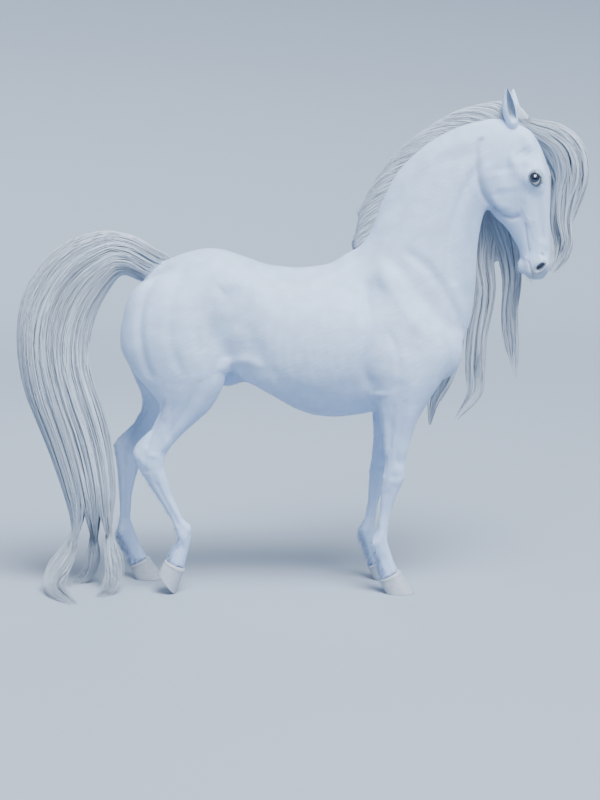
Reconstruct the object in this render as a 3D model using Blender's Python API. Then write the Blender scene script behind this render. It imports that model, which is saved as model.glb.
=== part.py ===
"""A standing horse, life size, as closed solids: one object for each named part of its body.

The flesh is drawn as sections. Each section gives two points of the side outline, such as the top line
and the belly, and the width between them. Smooth lofts through the sections are fused, relaxed and then
parted with thin cuts. Hooves, eyes, ears and the long hair are solids of their own that meet the flesh
across a hair's breadth.

Metres, +Z up. The horse faces +X, its right side is -Y, and it stands on Z = 0.
"""

import math
from typing import NamedTuple

import bmesh
import bpy
import numpy as np
from mathutils import Matrix, Vector
from mathutils.bvhtree import BVHTree

# The tables below are for a horse of 1.60 m at the withers.
CUT = 0.0005  # width of the thin cuts that part the flesh
GAP = 0.0004  # clearance of an eye in its socket and of an ear on the head
HAIR_GAP = 0.007  # clearance of the hair from the skin, and of one lock from the next
BODY_VOXEL = 0.007  # grids on which the overlapping solids are fused
HEAD_VOXEL = 0.004
BODY_TRIANGLES = 2200  # of the fused flesh, before it is parted
HEAD_TRIANGLES = 1560
ROUGH_SHARE = 0.52  # of its triangles that a skin keeps where it only shapes what lies on it

HEAD_LENGTH = 0.745
HEAD_TABLE_LENGTH = 0.70
HEAD_NOD = 8.0  # degrees that the muzzle stands in front of the vertical
HEAD_TURN = 17.0  # degrees that the face turns to the horse's right
POLL = Vector((0.985, -0.010, 2.185))

EYE_RADIUS = 0.0335
EYE_AT = Vector((0.036, 0.080, -0.268))  # in the head's frame: forward, sideways, up
EYE_OUT = Vector((0.30, 1.0, 0.05))  # the way it looks, in the same frame
EYE_DEPTH = 0.0235  # of the ball's middle below the surface
SPHERE_SWELL = 1.02  # so that a faceted ball has the radius between its corners
EAR_LENGTH = 0.158
EAR_AT = Vector((-0.020, 0.042, -0.022))
EAR_ROOM = 1.08  # how much wider than the ear is the room that the hair leaves for it
EAR_SPREAD = 9.0
EAR_PRICK = -2.0
EAR_FACE = 38.0

REST_FORWARD = 0.06  # how far the resting hind leg is brought forward besides its bending
FORE_SET_BACK = -0.045  # how far the left foreleg stands behind the right one
HIND_REST = {"hip": 6.0, "stifle": -2.0, "hock": 25.0, "fetlock": -70.0, "coffin": -13.0}  # degrees
HOOF_RIM = 0.003  # how far a hoof's top stands out round the foot
TOE_FLAT = 0.006  # how much of the resting toe is worn flat

# Lines in the side view where pieces part, each from its front or outer end to its back or inner end.
HEAD_LINES = (((0.815, 2.330), (0.7715, 1.764)), ((0.772, 1.776), (0.872, 1.598)))
NECK_BASE_LINE = ((0.840, 1.146), (0.140, 1.699))
CREST_END_LINE = ((1.010, 2.300), (0.983, 2.050))
FORELOCK_LINE = ((1.014, 2.300), (0.987, 2.050))
DOCK_ROOT_LINE = ((-0.660, 1.650), (-0.782, 1.432))
DOCK_END_LINE = ((-0.775, 1.730), (-0.828, 1.440))
LEG_TOP_LINES = {"fore": ((0.620, 0.788), (0.285, 0.793)), "hind": ((-0.300, 0.985), (-0.940, 1.012))}
LEG_LOWER_CUTS = {"fore": "below_knee", "hind": "hock_base"}
# Half the width of the thin plates that part the flesh, and how far some reach past their line's ends.
NECK_CUT = 0.42
HEAD_CUT = 0.30
DOCK_CUT = 0.12
LEG_TOP_Y = 0.165  # the middle of a leg, where it is parted from the trunk
LEG_TOP_CUT = 0.160
LEG_CUT = 0.080
LEG_REACH = 0.04
FOOT_REACH = 0.03

TAIL_LINES = (
    ((-1.140, 1.620), (-0.950, 1.270)),
    ((-1.360, 1.060), (-0.930, 0.930)),
    ((-1.180, 0.560), (-0.850, 0.560)),
)
TAIL_LENGTHS = ("tail_arch", "tail_fall", "tail_gather", "tail_ends")

LOOKS = {
    "hoof": ((0.42, 0.45, 0.51), 0.45),
    "eye": ((0.02, 0.04, 0.08), 0.08),
    "mane": ((0.52, 0.57, 0.65), 0.70),
    "forelock": ((0.52, 0.57, 0.65), 0.70),
    "tail": ((0.50, 0.55, 0.63), 0.70),
    "": ((0.66, 0.75, 0.88), 0.75),
}


class Section(NamedTuple):
    """One cross-section. top and bottom are (x, z) on the outline, which on a leg are front and back."""

    top: tuple
    bottom: tuple
    half_width: float
    y: float = 0.0
    widest: float = 0.45  # where it is widest, from 0 at the bottom to 1 at the top
    top_power: float = 2.0  # 2 is an ellipse, less is pointed and more is square
    bottom_power: float = 2.0


TRUNK = {
    "breast": Section((0.735, 1.230), (0.715, 1.085), 0.090),
    "chest": Section((0.640, 1.400), (0.610, 0.960), 0.160, 0, 0.40),
    "shoulder": Section((0.440, 1.560), (0.470, 0.868), 0.205, 0, 0.42, 1.6),
    "withers": Section((0.255, 1.602), (0.290, 0.822), 0.232, 0, 0.40, 1.45),
    "girth": Section((0.125, 1.530), (0.140, 0.806), 0.262, 0, 0.43, 1.75),
    "back": Section((-0.020, 1.511), (0.000, 0.832), 0.282, 0, 0.46),
    "loin": Section((-0.160, 1.524), (-0.170, 0.922), 0.276, 0, 0.48, 2.1),
    "coupling": Section((-0.275, 1.566), (-0.315, 1.005), 0.256, 0, 0.52, 2.0),
    "croup": Section((-0.420, 1.603), (-0.460, 1.050), 0.250, 0, 0.55, 1.9),
    "hip": Section((-0.580, 1.568), (-0.620, 1.085), 0.225, 0, 0.52, 1.9),
    "tail_head": Section((-0.700, 1.492), (-0.750, 1.135), 0.165, 0, 0.48, 1.8),
    "seat": Section((-0.785, 1.390), (-0.820, 1.225), 0.090),
}

NECK = {
    "base": Section((0.215, 1.560), (0.735, 1.120), 0.170, 0, 0.42),
    "low": Section((0.300, 1.668), (0.785, 1.245), 0.150, 0, 0.42, 1.8),
    "lower_third": Section((0.345, 1.805), (0.805, 1.400), 0.128, 0, 0.42, 1.7),
    "middle": Section((0.425, 1.955), (0.810, 1.545), 0.110, -0.002, 0.43, 1.7),
    "upper_third": Section((0.555, 2.082), (0.820, 1.665), 0.096, -0.005, 0.45, 1.75),
    "throat_latch": Section((0.720, 2.166), (0.845, 1.765), 0.084, -0.010, 0.46, 1.85),
    "behind_poll": Section((0.875, 2.195), (0.900, 1.850), 0.073, -0.014, 0.48, 2.0),
    "poll": Section((0.975, 2.178), (0.960, 1.930), 0.060, -0.014, 0.50),
}

# In the head's frame: +X out of the forehead, -Z down the face, the origin at the poll.
HEAD = {
    "crown": Section((-0.012, 0.000), (-0.090, -0.040), 0.036),
    "ears": Section((0.034, -0.034), (-0.150, -0.105), 0.060, 0, 0.58),
    "forehead": Section((0.076, -0.110), (-0.205, -0.185), 0.080, 0, 0.62, 2.3, 1.8),
    "brow": Section((0.100, -0.205), (-0.226, -0.255), 0.089, 0, 0.66, 2.6, 1.7),
    "eyes": Section((0.102, -0.282), (-0.214, -0.320), 0.086, 0, 0.64, 2.6, 1.7),
    "cheek": Section((0.095, -0.360), (-0.172, -0.386), 0.075, 0, 0.62, 2.5, 1.7),
    "facial_crest": Section((0.086, -0.438), (-0.118, -0.448), 0.062, 0, 0.60, 2.4, 1.8),
    "bars": Section((0.078, -0.515), (-0.083, -0.514), 0.051, 0, 0.56, 2.3),
    "above_nostrils": Section((0.071, -0.576), (-0.068, -0.566), 0.047, 0, 0.55, 2.2),
    "nostrils": Section((0.063, -0.630), (-0.069, -0.618), 0.053, 0, 0.55, 2.3, 2.2),
    "muzzle": Section((0.049, -0.672), (-0.060, -0.660), 0.048, 0, 0.50, 2.5, 2.4),
    "lips": Section((0.024, -0.699), (-0.032, -0.692), 0.030, 0, 0.50, 2.3, 2.3),
}

# On a leg the last two sections are the middle of the hoof's wall and the ground.
FORELEG = {
    "blade_top": Section((0.420, 1.520), (0.255, 1.510), 0.028, 0.045),
    "blade": Section((0.560, 1.370), (0.262, 1.340), 0.078, 0.122),
    "shoulder_point": Section((0.692, 1.170), (0.285, 1.150), 0.102, 0.138, 0.50, 2.3),
    "arm": Section((0.662, 1.030), (0.292, 1.035), 0.104, 0.146, 0.45),
    "elbow": Section((0.598, 0.925), (0.318, 0.945), 0.088, 0.150, 0.50),
    "forearm": Section((0.540, 0.825), (0.348, 0.835), 0.068, 0.150, 0.55),
    "forearm_low": Section((0.500, 0.700), (0.368, 0.700), 0.049, 0.146, 0.55),
    "above_knee": Section((0.480, 0.610), (0.374, 0.605), 0.043, 0.143, 0.55, 2.3),
    "knee": Section((0.478, 0.548), (0.362, 0.540), 0.047, 0.141, 0.60, 2.6, 1.9),
    "below_knee": Section((0.449, 0.478), (0.358, 0.475), 0.037, 0.140, 0.58, 2.2, 1.9),
    "cannon": Section((0.420, 0.390), (0.354, 0.388), 0.0270, 0.139, 0.58),
    "cannon_low": Section((0.402, 0.305), (0.340, 0.300), 0.0275, 0.138, 0.55),
    "fetlock": Section((0.400, 0.248), (0.311, 0.232), 0.0370, 0.137, 0.52),
    "pastern": Section((0.419, 0.182), (0.345, 0.152), 0.0305, 0.136, 0.55),
    "coronet": Section((0.450, 0.106), (0.364, 0.062), 0.0450, 0.135, 0.52),
    "in_hoof": Section((0.470, 0.068), (0.384, 0.024), 0.0450, 0.135, 0.52),
    "hoof_wall": Section((0.487, 0.054), (0.372, 0.028), 0.0550, 0.135, 0.54, 2.0, 2.4),
    "hoof_ground": Section((0.524, 0.000), (0.386, 0.000), 0.0615, 0.135, 0.56, 2.0, 2.6),
}

HIND_LEG = {
    "hip_top": Section((-0.350, 1.495), (-0.620, 1.480), 0.080, 0.110),
    "hip": Section((-0.335, 1.360), (-0.790, 1.365), 0.126, 0.138),
    "thigh": Section((-0.350, 1.200), (-0.866, 1.215), 0.138, 0.148, 0.50),
    "stifle": Section((-0.386, 1.045), (-0.850, 1.085), 0.122, 0.155, 0.60),
    "gaskin_top": Section((-0.438, 0.930), (-0.800, 0.958), 0.094, 0.158, 0.58),
    "gaskin": Section((-0.535, 0.812), (-0.765, 0.852), 0.067, 0.157, 0.56),
    "gaskin_low": Section((-0.664, 0.710), (-0.815, 0.754), 0.046, 0.154, 0.64, 2.0, 1.5),
    "hock_point": Section((-0.735, 0.640), (-0.900, 0.676), 0.043, 0.151, 0.68, 2.2, 1.6),
    "hock": Section((-0.762, 0.578), (-0.902, 0.602), 0.049, 0.149, 0.62, 2.3, 1.8),
    "hock_base": Section((-0.788, 0.506), (-0.890, 0.514), 0.041, 0.147, 0.60, 2.2, 1.9),
    "cannon_top": Section((-0.809, 0.430), (-0.885, 0.430), 0.0310, 0.146, 0.55),
    "cannon": Section((-0.818, 0.345), (-0.882, 0.343), 0.0275, 0.145, 0.55),
    "cannon_low": Section((-0.819, 0.290), (-0.884, 0.284), 0.0290, 0.144, 0.55),
    "fetlock": Section((-0.806, 0.242), (-0.897, 0.224), 0.0380, 0.143, 0.52),
    "pastern": Section((-0.780, 0.178), (-0.856, 0.148), 0.0315, 0.142, 0.55),
    "coronet": Section((-0.743, 0.106), (-0.826, 0.062), 0.0435, 0.141, 0.52),
    "in_hoof": Section((-0.723, 0.068), (-0.806, 0.024), 0.0435, 0.141, 0.52),
    "hoof_wall": Section((-0.706, 0.054), (-0.818, 0.028), 0.0520, 0.141, 0.54, 2.0, 2.4),
    "hoof_ground": Section((-0.671, 0.000), (-0.804, 0.000), 0.0575, 0.141, 0.56, 2.0, 2.6),
}

HIND_JOINTS = {
    "hip": (Vector((-0.52, 1.35)), "thigh"),
    "stifle": (Vector((-0.47, 1.02)), "gaskin_top"),
    "hock": (Vector((-0.80, 0.60)), "hock_base"),
    "fetlock": (Vector((-0.845, 0.235)), "pastern"),
    "coffin": (Vector((-0.773, 0.095)), "coronet"),
}

DOCK = {
    "inside": Section((-0.555, 1.555), (-0.660, 1.425), 0.062),
    "root": Section((-0.672, 1.560), (-0.737, 1.458), 0.056),
    "end": Section((-0.735, 1.622), (-0.775, 1.486), 0.062),
    "in_hair": Section((-0.860, 1.670), (-0.858, 1.500), 0.064),
}

# The tail's hair: top is the outer line of its arch, bottom the inner one.
TAIL = {
    "start": Section((-0.7905, 1.654), (-0.8205, 1.490), 0.066),
    "rise": Section((-0.850, 1.670), (-0.838, 1.468), 0.080),
    "arch": Section((-0.918, 1.678), (-0.862, 1.448), 0.090),
    "over": Section((-1.065, 1.640), (-0.930, 1.345), 0.100),
    "fall_top": Section((-1.200, 1.540), (-0.975, 1.230), 0.107),
    "fall": Section((-1.300, 1.372), (-0.990, 1.120), 0.112),
    "widest": Section((-1.330, 1.170), (-0.982, 1.010), 0.114, -0.005),
    "lower": Section((-1.300, 0.935), (-0.935, 0.868), 0.110, -0.010),
    "gather": Section((-1.215, 0.715), (-0.893, 0.700), 0.103, -0.015),
    "narrow": Section((-1.138, 0.490), (-0.874, 0.500), 0.095, -0.018),
    "ends": Section((-1.104, 0.330), (-0.874, 0.345), 0.088, -0.018),
    "split": Section((-1.108, 0.225), (-0.876, 0.235), 0.078, -0.020),
}


class Point(NamedTuple):
    """A place along a lock of hair, with half its width along the horse and half its thickness across."""

    x: float
    y: float
    z: float
    half_width: float
    half_thickness: float


TAIL_TIPS = {
    "tail_tip_outer": [
        Point(-1.050, -0.020, 0.300, 0.052, 0.050),
        Point(-1.105, -0.050, 0.170, 0.052, 0.045),
        Point(-1.155, -0.105, 0.080, 0.048, 0.040),
        Point(-1.140, -0.190, 0.026, 0.045, 0.040),
        Point(-1.085, -0.285, 0.012, 0.036, 0.034),
        Point(-1.030, -0.370, 0.005, 0.012, 0.016),
    ],
    "tail_tip_middle": [
        Point(-0.990, 0.020, 0.290, 0.045, 0.045),
        Point(-0.985, 0.045, 0.150, 0.040, 0.040),
        Point(-1.010, 0.065, 0.055, 0.034, 0.034),
        Point(-1.050, 0.055, 0.014, 0.030, 0.030),
        Point(-1.090, 0.020, 0.005, 0.012, 0.014),
    ],
    "tail_tip_inner": [
        Point(-0.930, -0.020, 0.300, 0.046, 0.048),
        Point(-0.892, -0.045, 0.180, 0.042, 0.042),
        Point(-0.878, -0.095, 0.075, 0.038, 0.038),
        Point(-0.900, -0.165, 0.020, 0.036, 0.036),
        Point(-0.945, -0.245, 0.005, 0.014, 0.016),
    ],
}

CREST = {
    "withers": Section((0.240, 1.603), (0.330, 1.570), 0.030, 0.012),
    "lowest": Section((0.253, 1.700), (0.400, 1.680), 0.046, 0.022),
    "low": Section((0.288, 1.815), (0.440, 1.780), 0.056, 0.032),
    "middle": Section((0.362, 1.945), (0.510, 1.890), 0.060, 0.036),
    "high": Section((0.485, 2.080), (0.600, 1.990), 0.062, 0.036),
    "highest": Section((0.680, 2.208), (0.740, 2.085), 0.062, 0.032),
    "behind_ears": Section((0.870, 2.262), (0.880, 2.120), 0.058, 0.026),
    "poll": Section((0.975, 2.250), (0.960, 2.120), 0.046, 0.012),
    "between_ears": Section((1.030, 2.200), (0.995, 2.090), 0.034, 0.004),
}

# The mane falls on the left side.
MANE_LOCKS = [
    [
        Point(0.925, 0.030, 2.190, 0.050, 0.030),
        Point(0.915, 0.095, 2.120, 0.062, 0.026),
        Point(0.905, 0.135, 1.960, 0.066, 0.028),
        Point(0.915, 0.150, 1.760, 0.066, 0.032),
        Point(0.965, 0.140, 1.580, 0.055, 0.034),
        Point(0.985, 0.120, 1.440, 0.046, 0.032),
        Point(0.975, 0.110, 1.290, 0.040, 0.030),
        Point(0.985, 0.105, 1.140, 0.038, 0.026),
        Point(1.008, 0.100, 0.980, 0.008, 0.008),
    ],
    [
        Point(0.760, 0.030, 2.180, 0.085, 0.030),
        Point(0.790, 0.120, 2.060, 0.090, 0.028),
        Point(0.820, 0.150, 1.860, 0.085, 0.030),
        Point(0.850, 0.155, 1.680, 0.074, 0.034),
        Point(0.845, 0.145, 1.520, 0.060, 0.036),
        Point(0.860, 0.135, 1.380, 0.052, 0.034),
        Point(0.828, 0.140, 1.180, 0.050, 0.032),
        Point(0.820, 0.140, 1.020, 0.048, 0.030),
        Point(0.815, 0.135, 0.900, 0.038, 0.026),
        Point(0.732, 0.130, 0.778, 0.008, 0.008),
    ],
    [
        Point(0.590, 0.030, 2.070, 0.090, 0.032),
        Point(0.640, 0.125, 1.960, 0.095, 0.028),
        Point(0.690, 0.165, 1.760, 0.088, 0.032),
        Point(0.725, 0.180, 1.540, 0.076, 0.034),
        Point(0.725, 0.190, 1.330, 0.064, 0.036),
        Point(0.712, 0.205, 1.130, 0.056, 0.036),
        Point(0.682, 0.215, 0.980, 0.048, 0.032),
        Point(0.635, 0.215, 0.860, 0.034, 0.026),
        Point(0.614, 0.210, 0.738, 0.008, 0.008),
    ],
    [
        Point(0.455, 0.030, 1.950, 0.085, 0.032),
        Point(0.500, 0.130, 1.840, 0.090, 0.028),
        Point(0.560, 0.175, 1.640, 0.086, 0.032),
        Point(0.590, 0.215, 1.420, 0.076, 0.034),
        Point(0.590, 0.250, 1.220, 0.062, 0.034),
        Point(0.545, 0.262, 1.050, 0.048, 0.030),
        Point(0.560, 0.262, 0.900, 0.008, 0.008),
    ],
    [
        Point(0.350, 0.025, 1.800, 0.080, 0.030),
        Point(0.380, 0.120, 1.720, 0.084, 0.028),
        Point(0.435, 0.180, 1.540, 0.080, 0.032),
        Point(0.450, 0.230, 1.360, 0.068, 0.034),
        Point(0.425, 0.262, 1.200, 0.050, 0.030),
        Point(0.440, 0.270, 1.050, 0.008, 0.008),
    ],
    [
        Point(0.285, 0.020, 1.655, 0.060, 0.026),
        Point(0.305, 0.105, 1.600, 0.066, 0.026),
        Point(0.330, 0.180, 1.480, 0.060, 0.030),
        Point(0.320, 0.232, 1.350, 0.044, 0.028),
        Point(0.335, 0.255, 1.210, 0.008, 0.008),
    ],
]

FORELOCK = [
    Point(0.985, 0.000, 2.165, 0.030, 0.036),
    Point(1.050, 0.004, 2.138, 0.042, 0.046),
    Point(1.145, 0.012, 2.106, 0.068, 0.052),
    Point(1.228, 0.032, 2.040, 0.072, 0.056),
    Point(1.252, 0.048, 1.935, 0.070, 0.056),
    Point(1.232, 0.056, 1.825, 0.066, 0.052),
    Point(1.206, 0.054, 1.715, 0.058, 0.046),
    Point(1.214, 0.044, 1.625, 0.048, 0.040),
    Point(1.196, 0.028, 1.550, 0.036, 0.030),
    Point(1.155, 0.000, 1.486, 0.008, 0.008),
]

# Half an ear's width and half its depth, at shares of its length.
EAR_WIDTHS = [
    (0.00, 0.021, 0.019),
    (0.18, 0.029, 0.024),
    (0.42, 0.033, 0.023),
    (0.68, 0.024, 0.016),
    (0.88, 0.012, 0.009),
    (1.00, 0.002, 0.003),
]


class Mass(NamedTuple):
    """A muscle or bone that swells the surface: an ellipsoid, with its radii along its own turned axes."""

    centre: tuple
    radii: tuple
    tilt: float = 0.0  # degrees, in the side view


HEAD_MASSES = {
    "cheek": Mass((-0.090, 0.052, -0.275), (0.100, 0.036, 0.112), 12),
    "orbit": Mass((0.034, 0.070, -0.262), (0.046, 0.034, 0.044)),
    "zygomatic_arch": Mass((-0.018, 0.076, -0.215), (0.030, 0.018, 0.066), -20),
    "facial_crest": Mass((-0.002, 0.060, -0.370), (0.012, 0.013, 0.085), 6),
    "nostril": Mass((0.034, 0.038, -0.632), (0.034, 0.021, 0.042), -12),
    "chin": Mass((-0.060, 0.012, -0.632), (0.024, 0.026, 0.034)),
    "temple": Mass((0.030, 0.048, -0.135), (0.044, 0.028, 0.075), -8),
}

BODY_MASSES = {
    "pectoral": Mass((0.655, 0.078, 1.120), (0.088, 0.088, 0.135), 10),
    "triceps": Mass((0.400, 0.175, 1.080), (0.120, 0.075, 0.150), -30),
    "shoulder_blade": Mass((0.450, 0.118, 1.350), (0.085, 0.075, 0.200), -28),
    "hip_bone": Mass((-0.325, 0.196, 1.430), (0.085, 0.042, 0.060), 20),
    "quarters": Mass((-0.640, 0.150, 1.300), (0.180, 0.110, 0.190), 15),
    "stifle": Mass((-0.435, 0.172, 1.060), (0.064, 0.068, 0.095), 15),
    "ribs": Mass((0.030, 0.150, 1.165), (0.410, 0.138, 0.250), 0),
    "sheath": Mass((-0.330, 0.012, 0.990), (0.085, 0.034, 0.038), -8),
}


def smooth_rows(rows, steps):
    """Rows on a Catmull-Rom curve through the given ones, with so many steps from each to the next."""
    rows = np.asarray(rows, float)
    padded = np.vstack([2 * rows[0] - rows[1], rows, 2 * rows[-1] - rows[-2]])
    t = (np.arange(steps) / steps)[:, None]
    spans = []
    for before, start, end, after in zip(padded, padded[1:], padded[2:], padded[3:]):
        spans.append(
            0.5
            * (
                2 * start
                + (end - before) * t
                + (2 * before - 5 * start + 4 * end - after) * t**2
                + (3 * start - before - 3 * end + after) * t**3
            )
        )
    return np.vstack([*spans, rows[-1:]])


def rings_of(sections, steps, sides):
    """The rings of a loft through the sections: an array of rings, points and coordinates."""
    rows = smooth_rows([[*s.top, *s.bottom, *s[2:]] for s in sections], steps)
    top, bottom = rows[:, None, 0:2], rows[:, None, 2:4]
    half_width, y, widest, top_power, bottom_power = rows[:, 4:, None].transpose(1, 0, 2)
    turn = np.arange(sides) * 2 * math.pi / sides
    across, rise = np.cos(turn), np.sin(turn)
    power = 2 / np.where(rise > 0, top_power, bottom_power)
    middle = bottom + (top - bottom) * widest[:, :, None]
    reach = (np.abs(rise) ** power)[:, :, None]
    outline = middle + np.where(rise[None, :, None] > 0, top - middle, bottom - middle) * reach
    side = y + half_width * np.sign(across) * np.abs(across) ** power
    return np.stack([outline[:, :, 0], side, outline[:, :, 1]], axis=2)


def face_out(made):
    """Turns every face of a closed mesh outwards."""
    bmesh.ops.recalc_face_normals(made, faces=made.faces)
    if made.calc_volume(signed=True) < 0:
        bmesh.ops.reverse_faces(made, faces=made.faces)


def mesh_of_rings(rings, into=None):
    """A closed tube through rings of points, in a bmesh of its own or added to another."""
    made = into or bmesh.new()
    loops = [[made.verts.new(point) for point in ring] for ring in rings]
    for near, far in zip(loops, loops[1:]):
        for i in range(len(near)):
            made.faces.new((near[i - 1], near[i], far[i], far[i - 1]))
    made.faces.new(reversed(loops[0]))
    made.faces.new(loops[-1])
    face_out(made)
    bmesh.ops.triangulate(made, faces=made.faces)
    return made


def add_mass(made, mass, side=1, place=None):
    turn = Matrix.Rotation(math.radians(mass.tilt), 4, "Y")
    centre = Vector((mass.centre[0], mass.centre[1] * side, mass.centre[2]))
    matrix = (place or Matrix()) @ Matrix.Translation(centre) @ turn @ Matrix.Diagonal((*mass.radii, 1))
    bmesh.ops.create_uvsphere(made, u_segments=20, v_segments=12, radius=1, matrix=matrix)


def mirrored(sections):
    return {name: s._replace(y=-s.y) for name, s in sections.items()}


def turned(point, pivot, degrees):
    """A side-view point turned about a pivot; a positive turn swings what hangs below it forwards."""
    c, s = math.cos(math.radians(degrees)), math.sin(math.radians(degrees))
    x, z = point[0] - pivot[0], point[1] - pivot[1]
    return (pivot[0] + x * c - z * s, pivot[1] + x * s + z * c)


def bent(sections, joints, angles):
    """The leg with each joint turned in order."""
    names = list(sections)
    posed = dict(sections)
    pivots = {name: Vector(at) for name, (at, _) in joints.items()}
    order = list(joints)
    for i, joint in enumerate(order):
        pivot = pivots[joint].copy()
        for name in names[names.index(joints[joint][1]) :]:
            s = posed[name]
            posed[name] = s._replace(
                top=turned(s.top, pivot, angles[joint]), bottom=turned(s.bottom, pivot, angles[joint])
            )
        for later in order[i + 1 :]:
            pivots[later] = Vector(turned(pivots[later], pivot, angles[joint]))
    return posed


def shifted(sections, dx, dz, whole_from):
    """The leg moved by (dx, dz), all of it from one section down and less and less above that."""
    names = list(sections)
    full = names.index(whole_from)
    posed = {}
    for i, (name, s) in enumerate(sections.items()):
        share = min(1.0, i / full) ** 2
        move = (dx * share, dz * share)
        posed[name] = s._replace(
            top=(s.top[0] + move[0], s.top[1] + move[1]),
            bottom=(s.bottom[0] + move[0], s.bottom[1] + move[1]),
        )
    return posed


def head_place():
    """The head's frame in the world."""
    turn = Matrix.Rotation(math.radians(-HEAD_TURN), 4, "Z")
    nod = Matrix.Rotation(math.radians(-HEAD_NOD), 4, "Y")
    size = Matrix.Scale(HEAD_LENGTH / HEAD_TABLE_LENGTH, 4)
    return Matrix.Translation(POLL) @ turn @ nod @ size


def plate(into, point, normal, half_sizes, thickness=CUT):
    """A thin plate that cuts at a point, square to the normal, added to a mesh of cutters."""
    normal = Vector(normal).normalized()
    across = Vector((0, 1, 0))
    along = across.cross(normal).normalized()
    frame = Matrix((along, across, normal)).transposed().to_4x4()
    size = Matrix.Diagonal((2 * half_sizes[0], 2 * half_sizes[1], thickness, 1))
    bmesh.ops.create_cube(into, size=1, matrix=Matrix.Translation(Vector(point)) @ frame @ size)


def new_object(name, made, free=True):
    mesh = bpy.data.meshes.new(name)
    made.to_mesh(mesh)
    if free:
        made.free()
    obj = bpy.data.objects.new(name, mesh)
    bpy.context.scene.collection.objects.link(obj)
    return obj


def applied(obj, modifiers):
    """A bmesh of the object with these modifiers, each a type and its settings. The object goes."""
    for kind, settings in modifiers:
        modifier = obj.modifiers.new(kind.title(), kind)
        for key, value in settings.items():
            setattr(modifier, key, value)
    graph = bpy.context.evaluated_depsgraph_get()
    made = bmesh.new()
    made.from_object(obj, graph)
    bpy.data.objects.remove(obj)
    return made


def fused(made, voxel, relaxing, triangles):
    """The overlapping solids of a mesh as one relaxed skin of about so many triangles."""
    smooth = [
        ("REMESH", {"mode": "VOXEL", "voxel_size": voxel}),
        ("SMOOTH", {"factor": 0.5, "iterations": relaxing}),
        ("TRIANGULATE", {}),
    ]
    dense = applied(new_object("dense", made), smooth)
    ratio = triangles / len(dense.faces)
    return applied(new_object("dense", dense), [("DECIMATE", {"ratio": ratio}), ("TRIANGULATE", {})])


def cut(made, cutter, solver="EXACT"):
    """A mesh without what another one takes up. The other one stays as it is."""
    tool = new_object("tool", cutter, free=False)
    settings = {"object": tool, "operation": "DIFFERENCE", "solver": solver}
    result = applied(new_object("cut", made), [("BOOLEAN", settings)])
    bpy.data.objects.remove(tool)
    bmesh.ops.triangulate(result, faces=result.faces)
    return result


def half(made, point, normal):
    """What lies behind a plane, capped. The normal points at the half that goes."""
    geometry = made.verts[:] + made.edges[:] + made.faces[:]
    bisected = bmesh.ops.bisect_plane(
        made, geom=geometry, dist=1e-7, plane_co=point, plane_no=normal, clear_outer=True
    )
    edges = [item for item in bisected["geom_cut"] if isinstance(item, bmesh.types.BMEdge)]
    bmesh.ops.holes_fill(made, edges=edges)
    face_out(made)
    return made


def loose_parts(made):
    """Each connected piece of a mesh as a mesh of its own."""
    parts = []
    made.verts.ensure_lookup_table()
    made.verts.index_update()
    home = [None] * len(made.verts)
    for start in made.verts:
        if home[start.index] is not None:
            continue
        home[start.index] = len(parts)
        piece = [start]
        for vert in piece:
            for edge in vert.link_edges:
                other = edge.other_vert(vert)
                if home[other.index] is None:
                    home[other.index] = len(parts)
                    piece.append(other)
        parts.append(bmesh.new())
    copies = [parts[home[vert.index]].verts.new(vert.co) for vert in made.verts]
    for face in made.faces:
        part, corners = parts[home[face.verts[0].index]], [copies[vert.index] for vert in face.verts]
        if part.faces.get(corners) is None:
            part.faces.new(corners)
    return parts


def named_parts(made, places):
    """The pieces of a cut mesh, each under the name whose place is nearest to its middle."""
    found = {}
    for part in loose_parts(made):
        points = np.array([vert.co for vert in part.verts])
        middle = (points.min(0) + points.max(0)) / 2
        if len(points) < 12 or part.calc_volume(signed=False) < 1e-6:
            continue
        name = min(places, key=lambda n: float(np.linalg.norm(middle - np.array(places[n]))))
        assert name not in found, name
        found[name] = part
    return found


def lock_rings(points, steps=3, sides=10):
    """The rings of a lock: flattened, wide along the horse and thin across it, square to its own path."""
    rows = smooth_rows(points, steps)
    path, half_width, half_thickness = rows[:, :3], rows[:, 3:4], rows[:, 4:5]
    along = np.gradient(path, axis=0)
    along /= np.linalg.norm(along, axis=1, keepdims=True)
    wide = np.cross(along, [0.0, 1.0, 0.0])
    wide /= np.linalg.norm(wide, axis=1, keepdims=True)
    thin = np.cross(along, wide)
    turn = np.arange(sides) * 2 * math.pi / sides
    across = (half_width * wide)[:, None, :] * np.cos(turn)[None, :, None]
    through = (half_thickness * thin)[:, None, :] * np.sin(turn)[None, :, None]
    return path[:, None, :] + across + through


def leg_flesh(sections):
    names = list(sections)
    return [sections[name] for name in names[: names.index("in_hoof") + 1]]


def legs():
    """The four legs' sections, with the right hind leg resting on its toe, by name."""
    back = shifted(FORELEG, FORE_SET_BACK, 0.0, "above_knee")
    resting = bent(HIND_LEG, HIND_JOINTS, HIND_REST)
    lowest = min(min(s.top[1], s.bottom[1]) for s in resting.values())
    resting = shifted(resting, REST_FORWARD, -TOE_FLAT - lowest, "gaskin")
    return {
        "fore_right": mirrored(FORELEG),
        "fore_left": back,
        "hind_right": mirrored(resting),
        "hind_left": HIND_LEG,
    }


def add_masses(made, masses, place=None):
    for mass in masses.values():
        for side in (-1, 1):
            add_mass(made, mass, side, place)


def body_flesh(all_legs):
    """The trunk, neck, dock and legs as one skin, before they are parted."""
    made = bmesh.new()
    mesh_of_rings(rings_of(TRUNK.values(), 4, 32), made)
    mesh_of_rings(rings_of(NECK.values(), 4, 28), made)
    mesh_of_rings(rings_of(DOCK.values(), 4, 20), made)
    for sections in all_legs.values():
        mesh_of_rings(rings_of(leg_flesh(sections), 4, 24), made)
    add_masses(made, BODY_MASSES)
    return fused(made, BODY_VOXEL, 22, BODY_TRIANGLES)


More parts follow.
